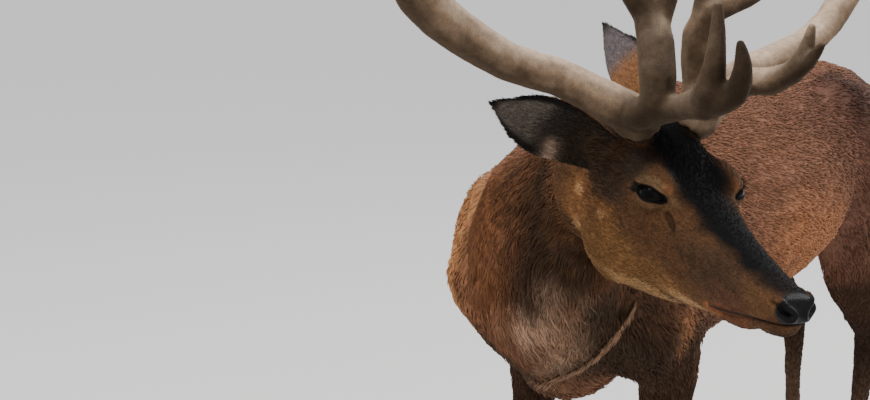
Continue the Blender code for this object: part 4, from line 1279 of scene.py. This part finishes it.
def paintAntler(names, side, burr, points, outward, edges):
    # painted highlight on faces turned up, painted shade on faces turned down
    lit = outward[:, 2] + ripples(points, 0.045, 0.40) + ripples(points + 3, 0.018, 0.20)
    tones = mixed(velvetTone, velvetLit, smoothStep(0.0, 0.95, lit) * 0.7)
    tones = mixed(tones, velvetShadeAndTip, smoothStep(0.12, -0.75, lit) * 0.8)
    # painted shade over the tines that lie in shade
    shades = np.array([shadeOfTine(name, side) for name in names])
    tones = mixed(tones, velvetShadeAndTip, spread(shades[nearestOf(names, points)], edges, 20)[:, 0])
    for end in (tip for name in names for tip in antlerEnds(name, burr)):
        near = smoothStep(0.060, 0.012, farFrom(points, end))
        tones = mixed(tones, velvetShadeAndTip, antlerMaking["tipDark"] * near)
    return tones


def makeAntler(side, index):
    names = [n for n in nodes if n.startswith(f"antler_{side}")]
    whole = mergedParts(names, antlerMaking["overlap"])
    antler = newObject(f"antler{side.title()}", meshFrom(whole, "antler"))
    addJoin(antler, antlerMaking["voxel"])
    addSmooth(antler, antlerMaking["turns"])
    addThinning(antler, antlerMaking["keep"])
    mesh = applied(antler).data
    points, outward = coordinates(mesh), normals(mesh)
    # shallow unevenness all over, and a knobbly ring at the foot
    knobs = np.array([noise.noise(Vector(p) * 60) for p in points])
    burr = np.array(boxCenter(f"antler_{side}_burr"))
    low = smoothStep(0.055, 0.030, farFrom(points, burr))
    points += outward * (antlerMaking["burrKnobs"] * knobs * low + antlerMaking["knobs"] * knobs)[:, None]
    setCoordinates(mesh, points)
    tones = paintAntler(names, side, burr, points, outward, edgeList(mesh))
    setColors(mesh, tones)
    dress(mesh, velvet)
    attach(antler, "root")
    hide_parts(*names)
    random = np.random.default_rng(90 + index)
    triangles = triangleData(mesh)
    count = fuzzMaking["count"]
    corners, shares, roots, up = rootsOn(points, outward, triangles, np.ones(len(triangles)), count, random)
    way = unit(np.cross(up, random.normal(0, 1, up.shape)) + unit(roots - burr) * 0.8)
    way = unit(onSurface(way, up))
    tone = blendAt(tones, corners, shares) * np.exp(random.normal(0.15, 0.2, count))[:, None]
    length = random.uniform(0.7, 1.2, count) * fuzzMaking["length"]
    sizes = (length, *(fuzzMaking[key] for key in ("width", "rise", "settle")))
    fuzz = makeLocks(f"fuzz{side.title()}", roots, up, way, tone, nearestOf(names, roots), sizes, random,
                     rings=0)
    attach(fuzz, "root")
    report(f"{antler.name}: {len(triangles)} triangles")


def antlerEnds(name, burr):
    # the far tips of a tine or fork: places farther from the foot than all around them
    if not name.endswith(("_trez", "_inner", "_outer", "_back", "_fork")):
        return []
    mesh = nodes[name].data
    points, edges = coordinates(mesh), edgeList(mesh)
    reach = farFrom(points, burr)
    highest = np.full(len(points), -1.0)
    for here, there in ((0, 1), (1, 0)):
        np.maximum.at(highest, edges[:, here], reach[edges[:, there]])
    tips = points[reach > highest]
    kept = []
    for tip in tips[np.argsort(-farFrom(tips, burr))]:
        if all(np.linalg.norm(tip - other) > 0.05 for other in kept):
            kept.append(tip)
    return kept[:4]


def nearestOf(names, points):
    # which of the named nodes each point is nearest to
    spots = [coordinates(nodes[name].data) for name in names]
    owners = np.repeat(np.arange(len(names)), [len(s) for s in spots])
    tree = KDTree(len(owners))
    for number, spot in enumerate(np.concatenate(spots)):
        tree.insert(spot, number)
    tree.balance()
    return owners[[tree.find(p)[1] for p in points]]


# The eye is nearly black all over.
iris, irisDark, pupil, eyeWhite = color(10, 7, 5), color(5, 4, 4), color(2, 2, 2), color(5, 4, 4)


def makeEye(side):
    out, front, above = eyeAxes()
    ball = bmesh.new()
    bmesh.ops.create_uvsphere(ball, u_segments=64, v_segments=48, radius=1)
    mesh = meshFrom(ball, "eye")
    points = coordinates(mesh)
    # the ball's pole looks out; the cornea stands a little proud of it
    along, height, facing = points.T
    bulge = 1 + eyeMaking["bulge"] * smoothStep(0.70, 0.86, facing)
    local = (points * bulge[:, None]) @ np.array([front, above, out])
    local = local * (eyeMaking["radius"] - eyeMaking["gap"])
    local = (np.array(eyeMaking["center"]) + local) * [1, side, 1]
    if side < 0:
        mesh.flip_normals()
    setCoordinates(mesh, fromHead(local))
    tones = mixed(eyeWhite, iris, smoothStep(0.55, 0.72, facing))
    tones = mixed(tones, irisDark, hump(facing, 0.05, 0.70))
    slit = np.hypot(along / 0.40, height / 0.20)
    tones = mixed(tones, pupil, smoothStep(1.15, 0.9, slit) * (facing > 0))
    setColors(mesh, tones)
    dress(mesh, eyeLook)
    name = "left" if side > 0 else "right"
    eye = newObject(f"eye{name.title()}", mesh)
    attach(eye, "root")
    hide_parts(f"eye_{name}")


# The lashes of one side, sized as the coat's locks are.
lashMaking = {"count": 46, "length": (0.006, 0.0085), "width": 0.0006, "rise": -0.1, "settle": -0.35}


def makeLashes():
    # a row of lashes on each upper lid
    out, front, above = eyeAxes()
    random = np.random.default_rng(7)
    share = np.tile(np.linspace(-0.95, 0.95, lashMaking["count"]), 2)
    count = len(share)
    share += random.normal(0, 0.01, count)
    side = np.repeat([1.0, -1.0], lashMaking["count"])
    radius, power = eyeMaking["radius"], eyeMaking["roundness"]
    turn = share * eyeMaking["halfLength"] / radius
    lift = (eyeMaking["upper"] * (1 - np.abs(share) ** power) ** (1 / power) + 0.0008) / radius
    toward = (np.cos(turn) * np.cos(lift))[:, None] * out + (np.sin(turn) * np.cos(lift))[:, None] * front
    toward = unit(toward + np.sin(lift)[:, None] * above)
    roots = np.array(eyeMaking["center"]) + toward * (radius + 0.0016)
    fan = (share * 0.5 + random.normal(0, 0.12, count))[:, None]
    way = unit(toward * 0.75 + above * -0.10 + front * fan)
    up = unit(above - way * (way @ above)[:, None])
    mirror = np.stack([np.ones(count), side, np.ones(count)], 1)
    tones = np.tile(lidBlack * 1.2, (count, 1))
    length = random.uniform(*lashMaking["length"], count)
    sizes = (length, *(lashMaking[key] for key in ("width", "rise", "settle")))
    lashes = makeLocks("lashes", fromHead(roots * mirror), up * mirror @ headAxes, way * mirror @ headAxes,
                       tones, (side > 0).astype(int), sizes, random)
    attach(lashes, "root")


# Hooves and dewclaws: how much they swell, how far the dewclaws stay off the skin, and how fine they are.
hoofMaking = {"overlap": 0.0004, "apart": 0.003, "voxel": 0.0022, "turns": 8, "flatUnder": 0.0025}


def smoothHoof(mesh):
    carrier = newObject("carrier", mesh)
    addJoin(carrier, hoofMaking["voxel"])
    addSmooth(carrier, hoofMaking["turns"])
    mesh = applied(carrier).data
    bpy.data.objects.remove(carrier)
    points = coordinates(mesh)
    points[points[:, 2] < hoofMaking["flatUnder"], 2] = 0
    setCoordinates(mesh, points)
    return mesh


def makeHooves(skin):
    tree = surfaceTree(skin.data)
    for kind, rounds in (("hoof", 0), ("dewclaw", 2)):
        chosen = [n for n in nodes if kind in n]
        whole = bmesh.new()
        for name in chosen:
            part = mergedParts([name], hoofMaking["overlap"], rounds)
            if kind == "dewclaw":
                # set against the hair of the pastern
                middle = boxCenter(name)
                toward = tree.find_nearest(middle)[0] - middle
                share = max(0, 1 - hoofMaking["apart"] / toward.length)
                bmesh.ops.translate(part, verts=part.verts, vec=toward * share)
            mesh = meshFrom(part, "part")
            if kind == "hoof":
                mesh = smoothHoof(mesh)
            whole.from_mesh(mesh)
            bpy.data.meshes.remove(mesh)
        mesh = meshFrom(whole, kind)
        made = newObject("hooves" if kind == "hoof" else "dewclaws", mesh)
        dress(mesh, horn)
        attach(made, "root")
        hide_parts(*chosen)
        report(f"{made.name}: {len(triangleData(mesh))} triangles")


# The long hair along the throat's edge; "droop" is how far it turns down, and "off" its start off the skin.
fringeMaking = {"count": 620, "length": (0.010, 0.028), "width": 0.0011, "rise": (0.02, 0.16), "settle": 0.06,
                "droop": 0.6, "off": 0.0045}


def placeOn(line, share):
    # where a share is along a line, counted in its corners
    return np.stack([np.interp(share, np.arange(len(line)), line[:, k]) for k in range(3)], 1)


def makeFringe(skin):
    # pale hair that hangs along the edge of the throat
    tree = surfaceTree(skin.data)
    random = np.random.default_rng(17)
    count = fringeMaking["count"]
    share = random.beta(1.2, 1.6, count) * (len(throatLine) - 1)
    line = np.array(throatLine) + bodyOrigin
    places = placeOn(line, share)
    places += random.normal(0, 1, (count, 3)) * (0.0012 + 0.0050 * share / len(throatLine))[:, None]
    hits = [tree.find_nearest(Vector(p)) for p in places]
    roots, up = (np.array([h[k] for h in hits]) for k in (0, 1))
    way = unit(placeOn(np.gradient(line, axis=0), share)) + np.array([0, 0, -fringeMaking["droop"]])
    way = unit(way + random.normal(0, 0.16, (count, 3)))
    way = unit(onSurface(way, up))
    tones = throat * np.exp(random.normal(0.05, 0.28, count))[:, None]
    length = random.uniform(*fringeMaking["length"], count)
    rise = random.uniform(*fringeMaking["rise"], count)
    sizes = (length, fringeMaking["width"], rise, fringeMaking["settle"])
    fringe = makeLocks("coatFringe", roots + up * fringeMaking["off"], up, way, tones, np.zeros(count, int),
                       sizes, random)
    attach(fringe, "root")


placeCamera()
makeStage()
skin = makeSkinForm()
labels = shapeBody(skin)
softenHead(skin, labels)
carveHead(skin)
labels = nearestNodes(coordinates(skin.data))
colors, bare = paintSkin(skin, labels)
setGrain(skin.data)
dress(skin.data, hide)
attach(skin, "root")
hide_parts(*fleshNodes)
makeCoat(skin, labels, colors, bare)
for index, side in enumerate(("left", "right")):
    makeAntler(side, index)
    makeEye(1 - 2 * index)
makeLashes()
makeFringe(skin)
makeHooves(skin)
report(f"whole stag, {sum(len(triangleData(p.data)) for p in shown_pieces())} triangles")
